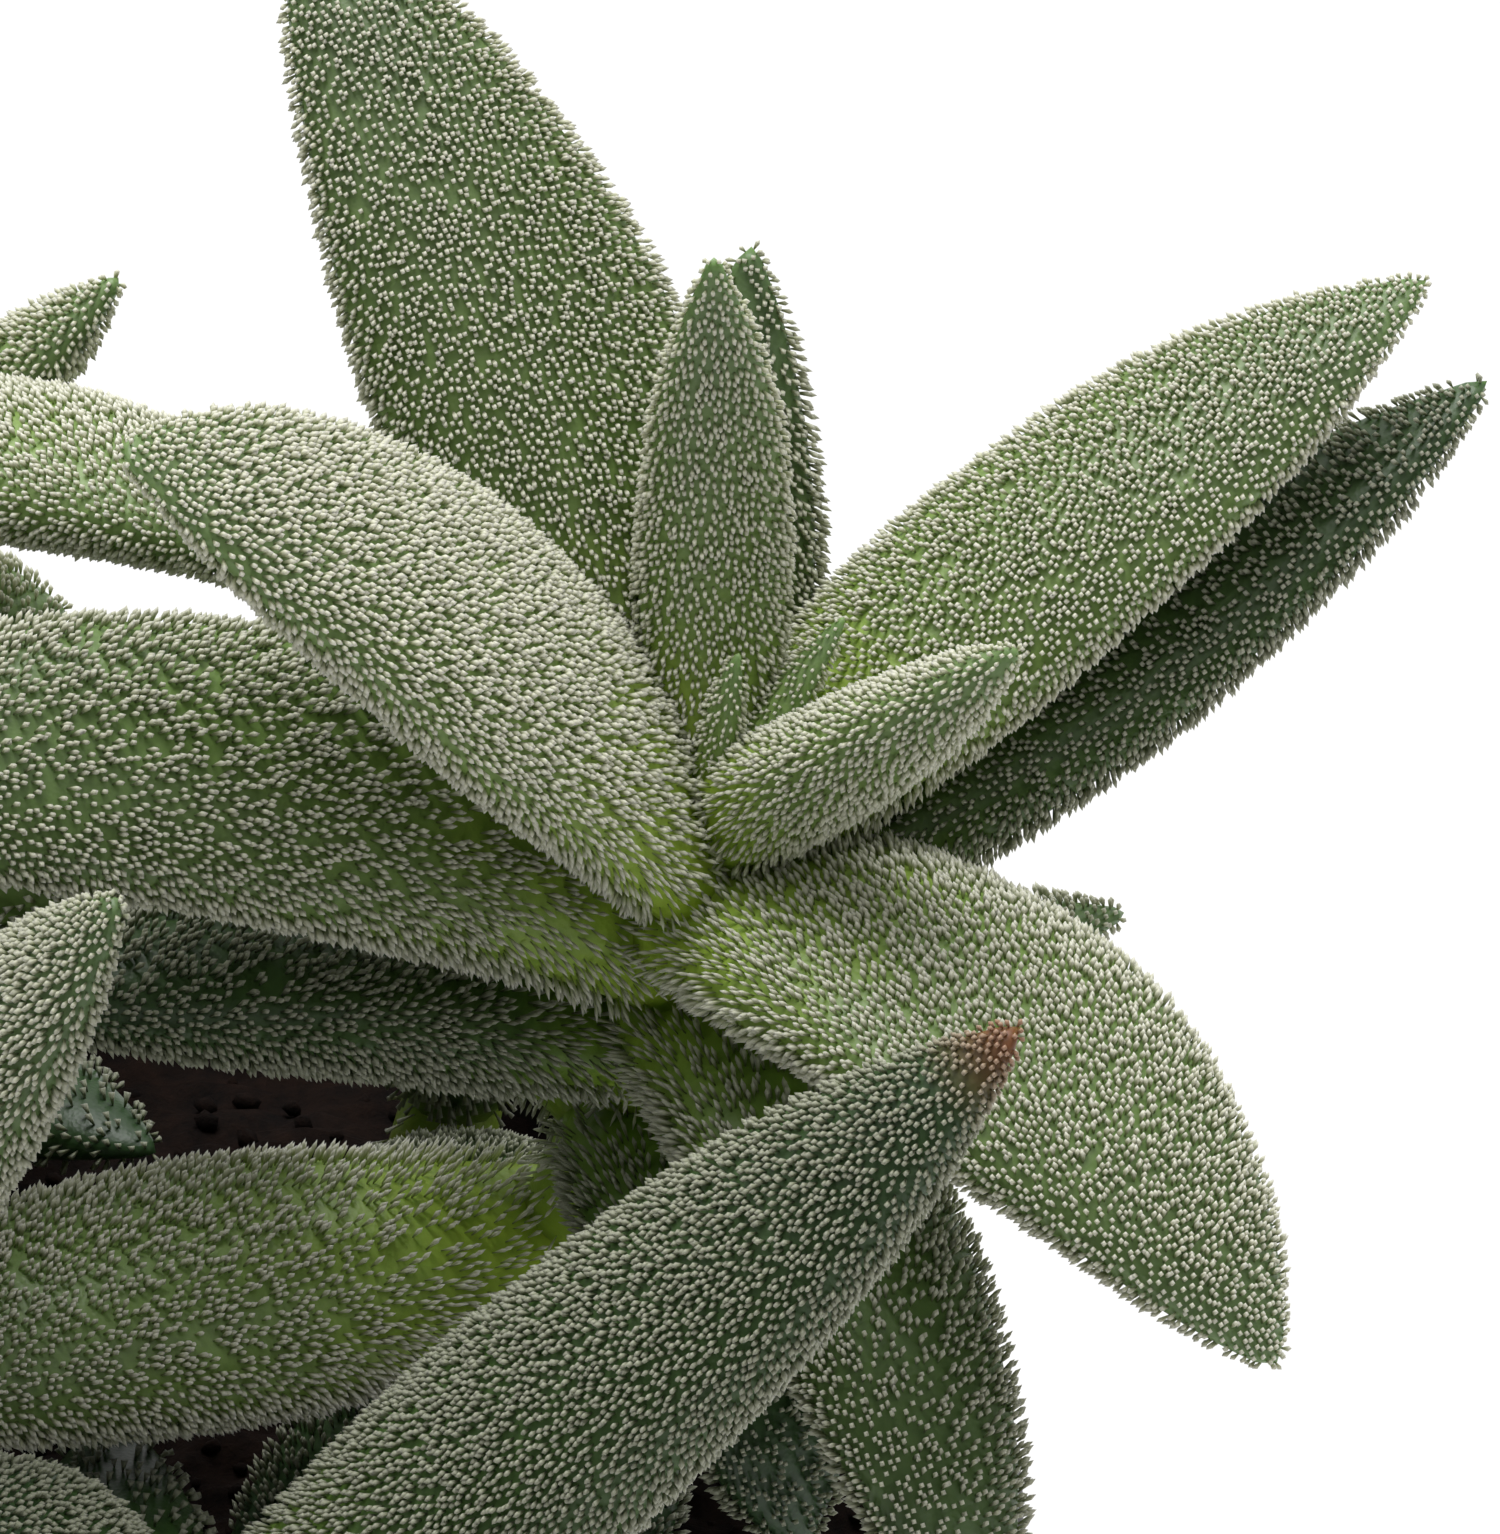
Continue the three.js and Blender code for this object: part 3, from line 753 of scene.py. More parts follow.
class GrownStem:
    """A stem with its line, its leaves and the balls that keep others off it."""

    def __init__(self, stem: Stem, form: StemForm, leaf_form: LeafForm, soil_level: float) -> None:
        """Draws the stem's line and sets out its placed leaves."""
        self.stem = stem
        self.form = form
        self.leaf_form = leaf_form
        self.soil_level = soil_level
        self.line, self.run = self._draw_line()
        self.leaves = [self._leaf(row, Nearness.SHOWN) for row in stem.placed]
        line_balls = self.line[:: form.guard_step]
        self.guards = [(line_balls, np.full(len(line_balls), form.foot_radius))]
        self.guards.extend(leaf.balls() for leaf in self.leaves)

    def _draw_line(self) -> tuple[np.ndarray, np.ndarray]:
        """The stem's line from the soil to its tip, and the distance run at each point."""
        stem = self.stem
        start = np.array((*stem.foot, self.soil_level + self.form.straight))
        top = np.array(stem.top, dtype=float)
        lean = np.array(stem.lean)
        first = start + np.array((0, 0, stem.rise))
        second = top - lean / np.linalg.norm(lean) * stem.reach
        t = np.linspace(0, 1, self.form.curve_steps + 1)[:, None]
        u = 1 - t
        line = u**3 * start + 3 * u * u * t * first + 3 * u * t * t * second + t**3 * top
        hops = np.linalg.norm(np.diff(line, axis=0), axis=1)
        return line, np.concatenate(((0.0,), np.cumsum(hops)))

    def point_from_tip(self, back: float) -> np.ndarray:
        """The point on the stem at a distance from its tip."""
        target = self.run[-1] - back
        return np.array([np.interp(target, self.run, self.line[:, axis]) for axis in range(3)])

    def _leaf(self, row: tuple[float, ...], nearness: Nearness) -> Leaf:
        """A leaf from its row of numbers."""
        pair, azimuth, pitch, curl, length, width, thickness, roll = row
        key = (self.stem.name, int(pair), int(azimuth))
        base = self.point_from_tip(PAIR_DISTANCES[int(pair) - 1])
        return Leaf(
            self.leaf_form, int(pair), base, azimuth, pitch, curl, length, width, thickness,
            roll, nearness, WITHERED.get(key, 0.0), OWN_AGES_AND_SHADES.get(key),
        )

    def grown_leaves(self) -> list[Leaf]:
        """The leaves that the stem grows by rule, without those that are placed."""
        stem, form = self.stem, self.leaf_form
        draw = Draw(stem.seed)
        leaves = []
        for pair in range(1, stem.pairs + 1):
            for half in range(2):
                turn = stem.first_turn + 90 * (pair - 1) + 180 * half
                azimuth = turn + form.turn_spread * (2 * draw.next() - 1)
                angle = math.radians(azimuth)
                tilt = math.cos(angle) * stem.lean[0] + math.sin(angle) * stem.lean[1]
                lowered = math.degrees(form.lean_effect * math.atan(tilt / stem.lean[2]))
                pitch = PAIR_PITCHES[pair - 1] + form.pitch_spread * (2 * draw.next() - 1) - lowered
                size = PAIR_SIZES[pair - 1] * (1 + form.size_spread * (2 * draw.next() - 1))
                length = stem.leaf_length * size
                width = form.least_width + length * form.slenderness
                thickness = form.least_thickness + length * form.fatness
                row = (pair, azimuth, pitch, PAIR_CURLS[pair - 1], length, width, thickness, 0)
                if not any(r[0] == pair and turn_between(r[1], turn) < 90 for r in stem.placed):
                    leaves.append(self._leaf(row, Nearness.GROWN))
        return leaves

    def add_stalk(self, shells: Shells) -> None:
        """Adds the stem's own skin to shells."""
        form = self.form
        total = float(self.run[-1])
        x, y = self.stem.foot
        rings = [level_ring(x, y, self.soil_level - form.root_depth, form.foot_radius, form.sides)]
        tangents, runs = [np.array((0, 0, 1.0))], [-0.2]
        for share in np.linspace(0, 1, form.rings):
            here = self.point_from_tip(total * (1 - share))
            ahead = self.point_from_tip(total * (1 - min(1.0, share + form.look_ahead)))
            behind = self.point_from_tip(total * (1 - max(0.0, share - form.look_ahead)))
            along = (ahead - behind) / np.linalg.norm(ahead - behind)
            up = np.cross(along, (1.0, 0.0, 0.0))
            up /= np.linalg.norm(up)
            side = np.cross(up, along)
            radius = form.foot_radius + (form.top_radius - form.foot_radius) * share
            angles = 2 * math.pi * np.arange(form.sides) / form.sides
            knots = 1 + form.knot_height * np.sin(3 * angles + 11 * share) * (1 - share)
            across = (radius * knots * np.cos(angles))[:, None] * side
            rings.append(here + across + (radius * knots * np.sin(angles))[:, None] * up)
            tangents.append(along)
            runs.append(share)
        share = np.array(runs)
        shells.add_tube(
            np.array(rings),
            None,
            {
                TOWARD_TIP: np.array(tangents),
                RUN: np.full(len(share), form.skin_run),
                COAT_SHARE: np.clip(share, 0, 1) * form.coat_share,
                COAT_LENGTH: np.full(len(share), form.coat_length),
                COAT_GIRTH: np.full(len(share), form.coat_girth),
                RUST: np.zeros(len(share)),
                BARK: np.clip(1 - share * form.bark_fade, 0, 1),
                AGE_AND_SHADE: np.full(len(share), form.tone),
            },
        )


def turn_between(a: float, b: float) -> float:
    """The angle between two compass directions, from 0 to 180 degrees."""
    turn = abs(a - b) % 360
    return min(turn, 360 - turn)


@dataclass(frozen=True)
class SoilBed:
    """The peat that fills the pot, with its uneven surface."""

    pot: Pot
    gap: float = 0.32
    level: float = 54.4
    crown: float = 1.2
    relief: float = 0.4
    shoulder: float = 1.0
    edge_step: float = 0.15
    pot_sides: int = 40
    rings: int = 44
    sides: int = 144
    grain: float = 0.55
    patch_margin: float = 1.3
    patch_rings: int = 24
    patch_sides: int = 60

    def height(self, x: float, y: float, edge: float) -> float:
        """The height of the soil's surface at a place, in mm."""
        crown = self.crown * (1 - (x * x + y * y) / (edge * edge))
        humps = math.sin(0.61 * x + 1.1) * math.sin(0.73 * y + 0.4)
        ridges = 0.5 * math.sin(1.37 * x - 0.9 * y)
        grain = noise.fractal(Vector((x * 0.7, y * 0.7, 3.1)), 0.6, 2.1, 4)
        return self.level + crown + self.relief * (humps + ridges) / 1.5 + self.grain * grain

    def edge(self) -> float:
        """The radius of the soil's surface."""
        return self.pot.inside_radius(self.level) * math.cos(math.pi / self.pot_sides) - self.gap

    def build(self, material: bpy.types.Material) -> bpy.types.Object:
        """Makes the body of the soil with its crumbled surface."""
        edge = self.edge()
        floor = self.pot.floor + self.gap
        foot = self.pot.inside_radius(floor) * math.cos(math.pi / self.pot_sides) - self.gap
        rings = [
            level_ring(0, 0, floor, foot, self.sides),
            level_ring(0, 0, self.level - self.shoulder, edge - self.edge_step, self.sides),
        ]
        for i in range(self.rings):
            radius = (edge - 2 * self.edge_step) * (1 - i / self.rings)
            ring = level_ring(0, 0, 0, radius, self.sides)
            ring[:, 2] = [self.height(x, y, edge) for x, y, _ in ring]
            rings.append(ring)
        shells = Shells()
        shells.add_tube(np.array(rings), np.array((0, 0, self.height(0, 0, edge))), {})
        return shells.build("potting_soil", material)

    def patch(self) -> bpy.types.Object:
        """A coarse copy of the surface, on which the crumbs are strewn."""
        reach, rows = self.edge() - self.patch_margin, self.patch_rings
        rings = []
        for i in range(rows):
            ring = level_ring(0, 0, 0, reach * (1 - i / rows), self.patch_sides)
            ring[:, 2] = [self.height(x, y, self.edge()) for x, y, _ in ring]
            rings.append(ring)
        shells = Shells()
        shells.add_tube(np.array(rings), np.array((0, 0, self.height(0, 0, self.edge()))), {})
        return shells.build("peat_patch", None)


@dataclass(frozen=True)
class PeatCrumbs:
    """Loose crumbs of peat, strewn on the soil by Geometry Nodes; sizes in mm."""

    INPUTS: ClassVar[tuple[tuple[str, str], ...]] = (
        ("Spacing", "Float"), ("Crowding", "Float"), ("Least", "Float"), ("Greatest", "Float"),
        ("Seed", "Int"), ("Crumb", "Object"), ("Finish", "Material"),
    )

    spacing: float = 1.15
    crowding: float = 0.75
    least: float = 0.35
    greatest: float = 1.1
    seed: int = 17

    def crumb(self) -> bpy.types.Object:
        """Makes one lumpy crumb of unit size."""
        made = bmesh.new()
        bmesh.ops.create_icosphere(made, subdivisions=1, radius=0.5)
        for corner in made.verts:
            corner.co *= 1 + 0.5 * noise.noise(corner.co * 2.3 + Vector((4.0, 1.0, 2.0)))
            corner.co.z *= 0.75
        mesh = bpy.data.meshes.new("peat_crumb")
        made.to_mesh(mesh)
        made.free()
        mesh.shade_smooth()
        return linked("peat_crumb", mesh)

    def tree(self) -> bpy.types.NodeTree:
        """The tree that strews, turns, sizes and realizes the crumbs."""
        tree = new_group("peat_strewing", self.INPUTS)
        given = add_node(tree, "NodeGroupInput").outputs
        normal = add_node(tree, "GeometryNodeInputNormal").outputs[0]
        height = add_node(tree, "ShaderNodeSeparateXYZ", {}, {0: normal}).outputs[2]
        upward = add_node(
            tree, "FunctionNodeCompare", {"operation": "GREATER_THAN"}, {0: height, 1: 0.3},
        ).outputs[0]
        spread = add_node(
            tree, "GeometryNodeDistributePointsOnFaces", {"distribute_method": "POISSON"},
            {
                "Mesh": given["Geometry"], "Selection": upward, "Distance Min": given["Spacing"],
                "Density Max": given["Crowding"], "Seed": given["Seed"],
            },
        ).outputs["Points"]
        turned = add_node(
            tree, "FunctionNodeRandomValue", {"data_type": "FLOAT_VECTOR"},
            {0: (0.0, 0.0, 0.0), 1: (6.28, 6.28, 6.28), "Seed": 3},
        ).outputs[0]
        sized = add_node(
            tree, "FunctionNodeRandomValue", {"data_type": "FLOAT"},
            {2: given["Least"], 3: given["Greatest"], "Seed": 4},
        ).outputs[1]
        shape = add_node(
            tree, "GeometryNodeObjectInfo", {}, {"Object": given["Crumb"], "As Instance": True},
        ).outputs["Geometry"]
        set_out = add_node(
            tree, "GeometryNodeInstanceOnPoints", {},
            {"Points": spread, "Instance": shape, "Rotation": turned, "Scale": sized},
        ).outputs[0]
        real = add_node(tree, "GeometryNodeRealizeInstances", {}, {"Geometry": set_out}).outputs[0]
        finished = add_node(
            tree, "GeometryNodeSetMaterial", {}, {"Geometry": real, "Material": given["Finish"]},
        ).outputs[0]
        add_node(tree, "NodeGroupOutput", {}, {0: finished})
        return tree

    def build(self, host: bpy.types.Object, material: bpy.types.Material) -> bpy.types.Object:
        """Strews the crumbs on a patch of ground.

        Args:
            host: The patch, which is removed afterwards.
            material: The peat.

        Returns:
            The crumbs as one plain mesh.
        """
        crumb = self.crumb()
        tree = self.tree()
        values = {
            "Spacing": self.spacing * MM,
            "Crowding": self.crowding / MM**2,
            "Least": self.least * MM,
            "Greatest": self.greatest * MM,
            "Seed": self.seed,
            "Crumb": crumb,
            "Finish": material,
        }
        made = grown_by(host, tree, values, "peat_crumbs")
        discard(crumb)
        return made


def new_group(name: str, inputs: tuple[tuple[str, str], ...]) -> bpy.types.NodeTree:
    """A Geometry Nodes tree with a mesh in, its named inputs of each kind, and a mesh out."""
    tree = bpy.data.node_groups.new(name, "GeometryNodeTree")
    for label, kind in (("Geometry", "Geometry"), *inputs):
        tree.interface.new_socket(label, in_out="INPUT", socket_type=f"NodeSocket{kind}")
    tree.interface.new_socket("Geometry", in_out="OUTPUT", socket_type="NodeSocketGeometry")
    return tree


def grown_by(
    host: bpy.types.Object, tree: bpy.types.NodeTree, values: dict[str, object], name: str
) -> bpy.types.Object:
    """Runs a Geometry Nodes tree on a mesh and keeps the result as a plain mesh.

    Args:
        host: The mesh that the tree starts from, which is removed afterwards.
        tree: The tree.
        values: The tree's inputs, by name.
        name: The new object's name.

    Returns:
        The result.
    """
    modifier = host.modifiers.new("grown", "NODES")
    modifier.node_group = tree
    for item in tree.interface.items_tree:
        if item.item_type == "SOCKET" and item.in_out == "INPUT" and item.name in values:
            modifier[item.identifier] = values[item.name]
    made = plain_copy(host, name)
    discard(host)
    return made


class Bristle(Enum):
    """The two bristles: a blunt bead-like club for near leaves, a plainer one beyond."""

    CLUB = "bristle_club"
    PEG = "bristle_peg"

    def build(self) -> bpy.types.Object:
        """Makes one bristle, 1 long along Z and 1 wide, bent a little towards -X.

        Returns:
            The bristle with a bake map whose V runs from root to tip.
        """
        sides, height = (4, 0.68) if self is Bristle.CLUB else (3, 0.86)
        angles = [2 * math.pi * (k + 0.5) / sides for k in range(sides)]
        points = [(0.5 * math.cos(a) - 0.1, 0.5 * math.sin(a), height) for a in angles]
        points.append((0.0, 0.0, -0.3))
        faces = [((k + 1) % sides, k, sides) for k in range(sides)]
        if self is Bristle.CLUB:
            points.append((-0.22, 0.0, 1.0))
            faces.extend((k, (k + 1) % sides, sides + 1) for k in range(sides))
        else:
            faces.append(tuple(range(sides)))
        mesh = bpy.data.meshes.new(self.value)
        mesh.from_pydata(points, [], faces)
        layer = mesh.uv_layers.new(name=BAKE_MAP)
        for loop in mesh.loops:
            x, y, z = points[loop.vertex_index]
            layer.data[loop.index].uv = (0.5 + 0.5 * y, min(1.0, max(0.0, (z + 0.3) / 1.3)))
        mesh.shade_smooth()
        return linked(self.value, mesh)


@dataclass(frozen=True)
class CoatSizes:
    """The coat of bristles: sizes in mm, and how they stand."""

    spacing: float = 0.172
    crowding: float = 60.0
    length: float = 0.5
    width: float = 0.2
    peg_spacing: float = 0.27
    peg_width: float = 0.29
    lean_at_base: float = -0.6
    lean_beyond: float = -0.42
    jitter: float = 0.2
    near_side: tuple[float, float, float] = (0.0, -0.82, 0.57)
    far_share: float = 0.3


class Coat:
    """Sets a close coat of bristles on leaf and stem skins, by Geometry Nodes."""

    INPUTS = (
        ("Spacing", "Float"),
        ("Crowding", "Float"),
        ("Length", "Float"),
        ("Width", "Float"),
        ("Lean at Base", "Float"),
        ("Lean Beyond", "Float"),
        ("Jitter", "Float"),
        ("Near Side", "Vector"),
        ("Far Share", "Float"),
        ("Seed", "Int"),
        ("Bristle", "Object"),
        ("Finish", "Material"),
    )

    def __init__(self, sizes: CoatSizes, material: bpy.types.Material) -> None:
        """Builds the tree and the two bristles."""
        self.sizes = sizes
        self.material = material
        self.tree = self._build_tree()
        self.bristles = {kind: kind.build() for kind in Bristle}

    def _build_tree(self) -> bpy.types.NodeTree:
        """The tree that strews, leans, sizes and realizes the bristles."""
        tree = new_group("bristle_coat", self.INPUTS)
        given = add_node(tree, "NodeGroupInput").outputs

        def named(name: str, kind: str) -> bpy.types.NodeSocket:
            """The value of that name and kind on the skin."""
            return add_node(
                tree, "GeometryNodeInputNamedAttribute", {"data_type": kind}, {"Name": name},
            ).outputs["Attribute"]

        def maths(operation: str, a: object, b: object) -> bpy.types.NodeSocket:
            """The result of a sum on two numbers."""
            settings = {"operation": operation}
            return add_node(tree, "ShaderNodeMath", settings, {0: a, 1: b}).outputs[0]

        def vectors(operation: str, inputs: dict[str | int, object]) -> bpy.types.NodeSocket:
            """The result of a sum on vectors."""
            settings = {"operation": operation}
            return add_node(tree, "ShaderNodeVectorMath", settings, inputs).outputs[0]

        facing = add_node(
            tree, "ShaderNodeVectorMath", {"operation": "DOT_PRODUCT"},
            {0: add_node(tree, "GeometryNodeInputNormal").outputs[0], 1: given["Near Side"]},
        ).outputs["Value"]
        thinned = add_node(
            tree, "ShaderNodeMapRange", {"interpolation_type": "SMOOTHSTEP"},
            {
                "Value": facing, "From Min": -0.45, "From Max": -0.1, "To Min": given["Far Share"],
                "To Max": 1.0,
            },
        ).outputs["Result"]
        spread = add_node(
            tree, "GeometryNodeDistributePointsOnFaces", {"distribute_method": "POISSON"},
            {
                "Mesh": given["Geometry"], "Distance Min": given["Spacing"],
                "Density Max": given["Crowding"],
                "Density Factor": maths("MULTIPLY", named(COAT_SHARE, "FLOAT"), thinned),
                "Seed": given["Seed"],
            },
        )
        lean = add_node(
            tree, "ShaderNodeMapRange", {"interpolation_type": "SMOOTHSTEP"},
            {
                "Value": named(RUN, "FLOAT"), "From Min": 0.05, "From Max": 0.4,
                "To Min": given["Lean at Base"], "To Max": given["Lean Beyond"],
            },
        ).outputs["Result"]
        along = named(TOWARD_TIP, "FLOAT_VECTOR")
        leaning = vectors("SCALE", {0: along, "Scale": lean})
        shaken = add_node(
            tree, "FunctionNodeRandomValue", {"data_type": "FLOAT_VECTOR"},
            {0: (-1.0, -1.0, -1.0), 1: (1.0, 1.0, 1.0), "Seed": given["Seed"]},
        ).outputs[0]
        shaken = vectors("SCALE", {0: shaken, "Scale": given["Jitter"]})
        heading = vectors("ADD", {0: spread.outputs["Normal"], 1: leaning})
        heading = vectors("ADD", {0: heading, 1: shaken})
        upright = add_node(
            tree, "FunctionNodeAlignRotationToVector", {"axis": "Z"}, {"Vector": heading},
        ).outputs[0]
        turned = add_node(
            tree, "FunctionNodeAlignRotationToVector", {"axis": "X", "pivot_axis": "Z"},
            {"Rotation": upright, "Vector": along},
        ).outputs[0]
        varied = add_node(
            tree, "FunctionNodeRandomValue", {"data_type": "FLOAT"}, {2: 0.74, 3: 1.18, "Seed": 5},
        ).outputs[1]
        length = maths("MULTIPLY", given["Length"], varied)
        length = maths("MULTIPLY", length, named(COAT_LENGTH, "FLOAT"))
        girth = maths("MULTIPLY", given["Width"], named(COAT_GIRTH, "FLOAT"))
        sizes = {0: girth, 1: girth, 2: length}
        scale = add_node(tree, "ShaderNodeCombineXYZ", {}, sizes).outputs[0]
        shape = add_node(
            tree, "GeometryNodeObjectInfo", {}, {"Object": given["Bristle"], "As Instance": True},
        ).outputs["Geometry"]
        set_out = add_node(
            tree, "GeometryNodeInstanceOnPoints", {},
            {
                "Points": spread.outputs["Points"], "Instance": shape, "Rotation": turned,
                "Scale": scale,
            },
        ).outputs[0]
        chance = add_node(
            tree, "FunctionNodeRandomValue", {"data_type": "FLOAT"}, {2: 0.0, 3: 0.95, "Seed": 9},
        ).outputs[1]
        marked = set_out
        for name, value in (
            ("shade", chance),
            (RUST, named(RUST, "FLOAT")),
            (AGE_AND_SHADE, named(AGE_AND_SHADE, "FLOAT")),
        ):
            marked = add_node(
                tree, "GeometryNodeStoreNamedAttribute",
                {"data_type": "FLOAT", "domain": "INSTANCE"},
                {"Geometry": marked, "Name": name, "Value": value},
            ).outputs[0]
        real = add_node(tree, "GeometryNodeRealizeInstances", {}, {"Geometry": marked}).outputs[0]
        old = add_node(
            tree, "ShaderNodeSeparateXYZ", {}, {0: named(BAKE_MAP, "FLOAT_VECTOR")},
        ).outputs
        across = maths("ADD", maths("MULTIPLY", old[0], 0.05), named("shade", "FLOAT"))
        mapped = add_node(tree, "ShaderNodeCombineXYZ", {}, {0: across, 1: old[1]}).outputs[0]
        stored = add_node(
            tree, "GeometryNodeStoreNamedAttribute", {"data_type": "FLOAT2", "domain": "CORNER"},
            {"Geometry": real, "Name": BAKE_MAP, "Value": mapped},
        ).outputs[0]
        finished = add_node(
            tree, "GeometryNodeSetMaterial", {}, {"Geometry": stored, "Material": given["Finish"]},
        ).outputs[0]
        add_node(tree, "NodeGroupOutput", {}, {0: finished})
        return tree

    def grow(self, host: bpy.types.Object, name: str, kind: Bristle, seed: int) -> bpy.types.Object:
        """Grows the coat on a skin and returns it as a plain mesh.

        Args:
            host: The skin, which is removed afterwards.
            name: The new piece's name.
            kind: Which bristle the coat is made of.
            seed: The seed of its random draws.

        Returns:
            The bristles as one mesh.
        """
        sizes = self.sizes
        near = kind is Bristle.CLUB
        values = {
            "Spacing": (sizes.spacing if near else sizes.peg_spacing) * MM,
            "Crowding": sizes.crowding / MM**2,
            "Length": sizes.length * MM,
            "Width": (sizes.width if near else sizes.peg_width) * MM,
            "Lean at Base": sizes.lean_at_base,
            "Lean Beyond": sizes.lean_beyond,
            "Jitter": sizes.jitter,
            "Near Side": sizes.near_side,
            "Far Share": sizes.far_share,
            "Seed": seed,
            "Bristle": self.bristles[kind],
            "Finish": self.material,
        }
        return grown_by(host, self.tree, values, name)

    def clear_away(self) -> None:
        """Removes the bristles that were copied."""
        for thing in self.bristles.values():
            discard(thing)


@dataclass(frozen=True)
class LeafSkin:
    """Living succulent skin: smooth wet-looking green cells over pale watery flesh.

    It gives the eye a deep green between the bristles, which turns to lime where
    a leaf leaves its stem: partly the base's own paler green, partly a painted glow
    of the light that shines through it. Lower leaves are painted darker and duller
    greens, as age and as painted shade.
    """

    lime: str = "#B2D040"
    # Lime and the old base colour: partly the leaf base's own paler green, partly a painted glow of
    # light shining through the base
    young: str = "#86A254"
    young_tip: str = "#78915C"
    # The old colours: darker, duller greens for age and for painted shade, which the lower leaves
    # take
    old_shaded_base: str = "#84A434"
    old: str = "#41602A"
    old_shaded_tip: str = "#354E2E"
    rust: str = "#8E4A30"
    bark: str = "#6B5238"
    blotch_mm: float = 2.4
    cell_mm: float = 0.16

    def material(self) -> bpy.types.Material:
        """Builds the material."""
        made, tree = new_material("succulent_leaf_skin")
        place = add_node(tree, "ShaderNodeTexCoord").outputs["Object"]
        run = add_node(tree, "ShaderNodeAttribute", {"attribute_name": RUN}).outputs["Fac"]
        blotch = add_node(
            tree, "ShaderNodeTexNoise", {},
            {"Vector": place, "Scale": 1 / (self.blotch_mm * MM), "Detail": 3.0},
        ).outputs["Fac"]
        shifted = add_node(
            tree, "ShaderNodeMath", {"operation": "MULTIPLY_ADD"}, {0: blotch, 1: 0.24, 2: run},
        ).outputs[0]
        fresh = add_node(tree, "ShaderNodeValToRGB", {}, {0: shifted})
        colour_ramp(fresh, [(0.12, self.lime), (0.5, self.young), (1.0, self.young_tip)])
        # Darker, duller greens that the age-and-shade value mixes in: age, and painted shade on
        # lower leaves
        aged_and_shaded = add_node(tree, "ShaderNodeValToRGB", {}, {0: shifted})
        colour_ramp(aged_and_shaded, [(0.12, self.old_shaded_base), (0.42, self.old), (1.0, self.old_shaded_tip)])
        colour = fresh.outputs[0]
        layers = ((AGE_AND_SHADE, aged_and_shaded.outputs[0]), (RUST, linear(self.rust)), (BARK, linear(self.bark)))
        for name, over in layers:
            share = add_node(tree, "ShaderNodeAttribute", {"attribute_name": name}).outputs["Fac"]
            colour = add_node(
                tree, "ShaderNodeMix", {"data_type": "RGBA"}, {0: share, 6: colour, 7: over},
            ).outputs[2]
        cells = add_node(
            tree, "ShaderNodeTexVoronoi", {}, {"Vector": place, "Scale": 1 / (self.cell_mm * MM)},
        ).outputs["Distance"]
        bump = add_node(
            tree, "ShaderNodeBump", {}, {"Strength": 0.35, "Distance": 0.03 * MM, "Height": cells},
        ).outputs[0]
        add_surface(
            tree,
            {
                "Base Color": colour, "Roughness": 0.36, "IOR": 1.42, "Subsurface Weight": 0.25,
                "Subsurface Radius": (0.6, 1.0, 0.3), "Subsurface Scale": 1.2 * MM, "Normal": bump,
            },
        )
        return made


@dataclass(frozen=True)
class PaleBristle:
    """A leaf hair: one dead, air-filled, cream-white cell with a greener root.

    It gives the eye the grey felt of the leaves, bright where light comes from behind.
    On lower leaves its colour is painted duller and darker, as age and as painted shade.
    """

    root: str = "#8A9768"
    body: str = "#B6B996"
    tip: str = "#E0DECE"
    # Dull grey-green for old bristles, standing for age and for painted shade on lower leaves
    aged_and_shaded: str = "#5C634E"
    rust: str = "#A06A50"

    def material(self) -> bpy.types.Material:
        """Builds the material."""
        made, tree = new_material("pale_leaf_bristle")
        spot = add_node(tree, "ShaderNodeUVMap", {"uv_map": BAKE_MAP}).outputs[0]
        parts = add_node(tree, "ShaderNodeSeparateXYZ", {}, {0: spot}).outputs
        along = add_node(tree, "ShaderNodeValToRGB", {}, {0: parts[1]})
        colour_ramp(along, [(0.1, self.root), (0.45, self.body), (0.95, self.tip)])
        strands = add_node(
            tree, "ShaderNodeTexNoise", {"noise_dimensions": "1D"},
            {"W": parts[0], "Scale": 14.0, "Detail": 1.0},
        ).outputs["Fac"]
        shade = add_node(
            tree, "ShaderNodeMapRange", {},
            {"Value": strands, "From Min": 0.3, "From Max": 0.7, "To Min": 0.88, "To Max": 1.05},
        ).outputs["Result"]
        toned = add_node(
            tree, "ShaderNodeVectorMath", {"operation": "SCALE"},
            {0: along.outputs[0], "Scale": shade},
        ).outputs[0]
        # The age-and-shade value: how far a bristle is painted dull and dark, for age and for shade
        age = add_node(tree, "ShaderNodeAttribute", {"attribute_name": AGE_AND_SHADE}).outputs["Fac"]
        greyed_and_shaded = add_node(
            tree, "ShaderNodeMath", {"operation": "MULTIPLY"}, {0: age, 1: 0.72},
        ).outputs[0]
        dulled_and_shaded = add_node(
            tree, "ShaderNodeMix", {"data_type": "RGBA"},
            {0: greyed_and_shaded, 6: toned, 7: linear(self.aged_and_shaded)},
        ).outputs[2]
        worn = add_node(tree, "ShaderNodeAttribute", {"attribute_name": RUST}).outputs["Fac"]
        rusted = add_node(
            tree, "ShaderNodeMix", {"data_type": "RGBA"},
            {0: worn, 6: dulled_and_shaded, 7: linear(self.rust)},
        ).outputs[2]
        add_surface(
            tree,
            {
                "Base Color": rusted, "Roughness": 0.5, "IOR": 1.45, "Subsurface Weight": 0.5,
                "Subsurface Radius": (1.0, 1.0, 0.85), "Subsurface Scale": 0.25 * MM,
            },
        )
        return made


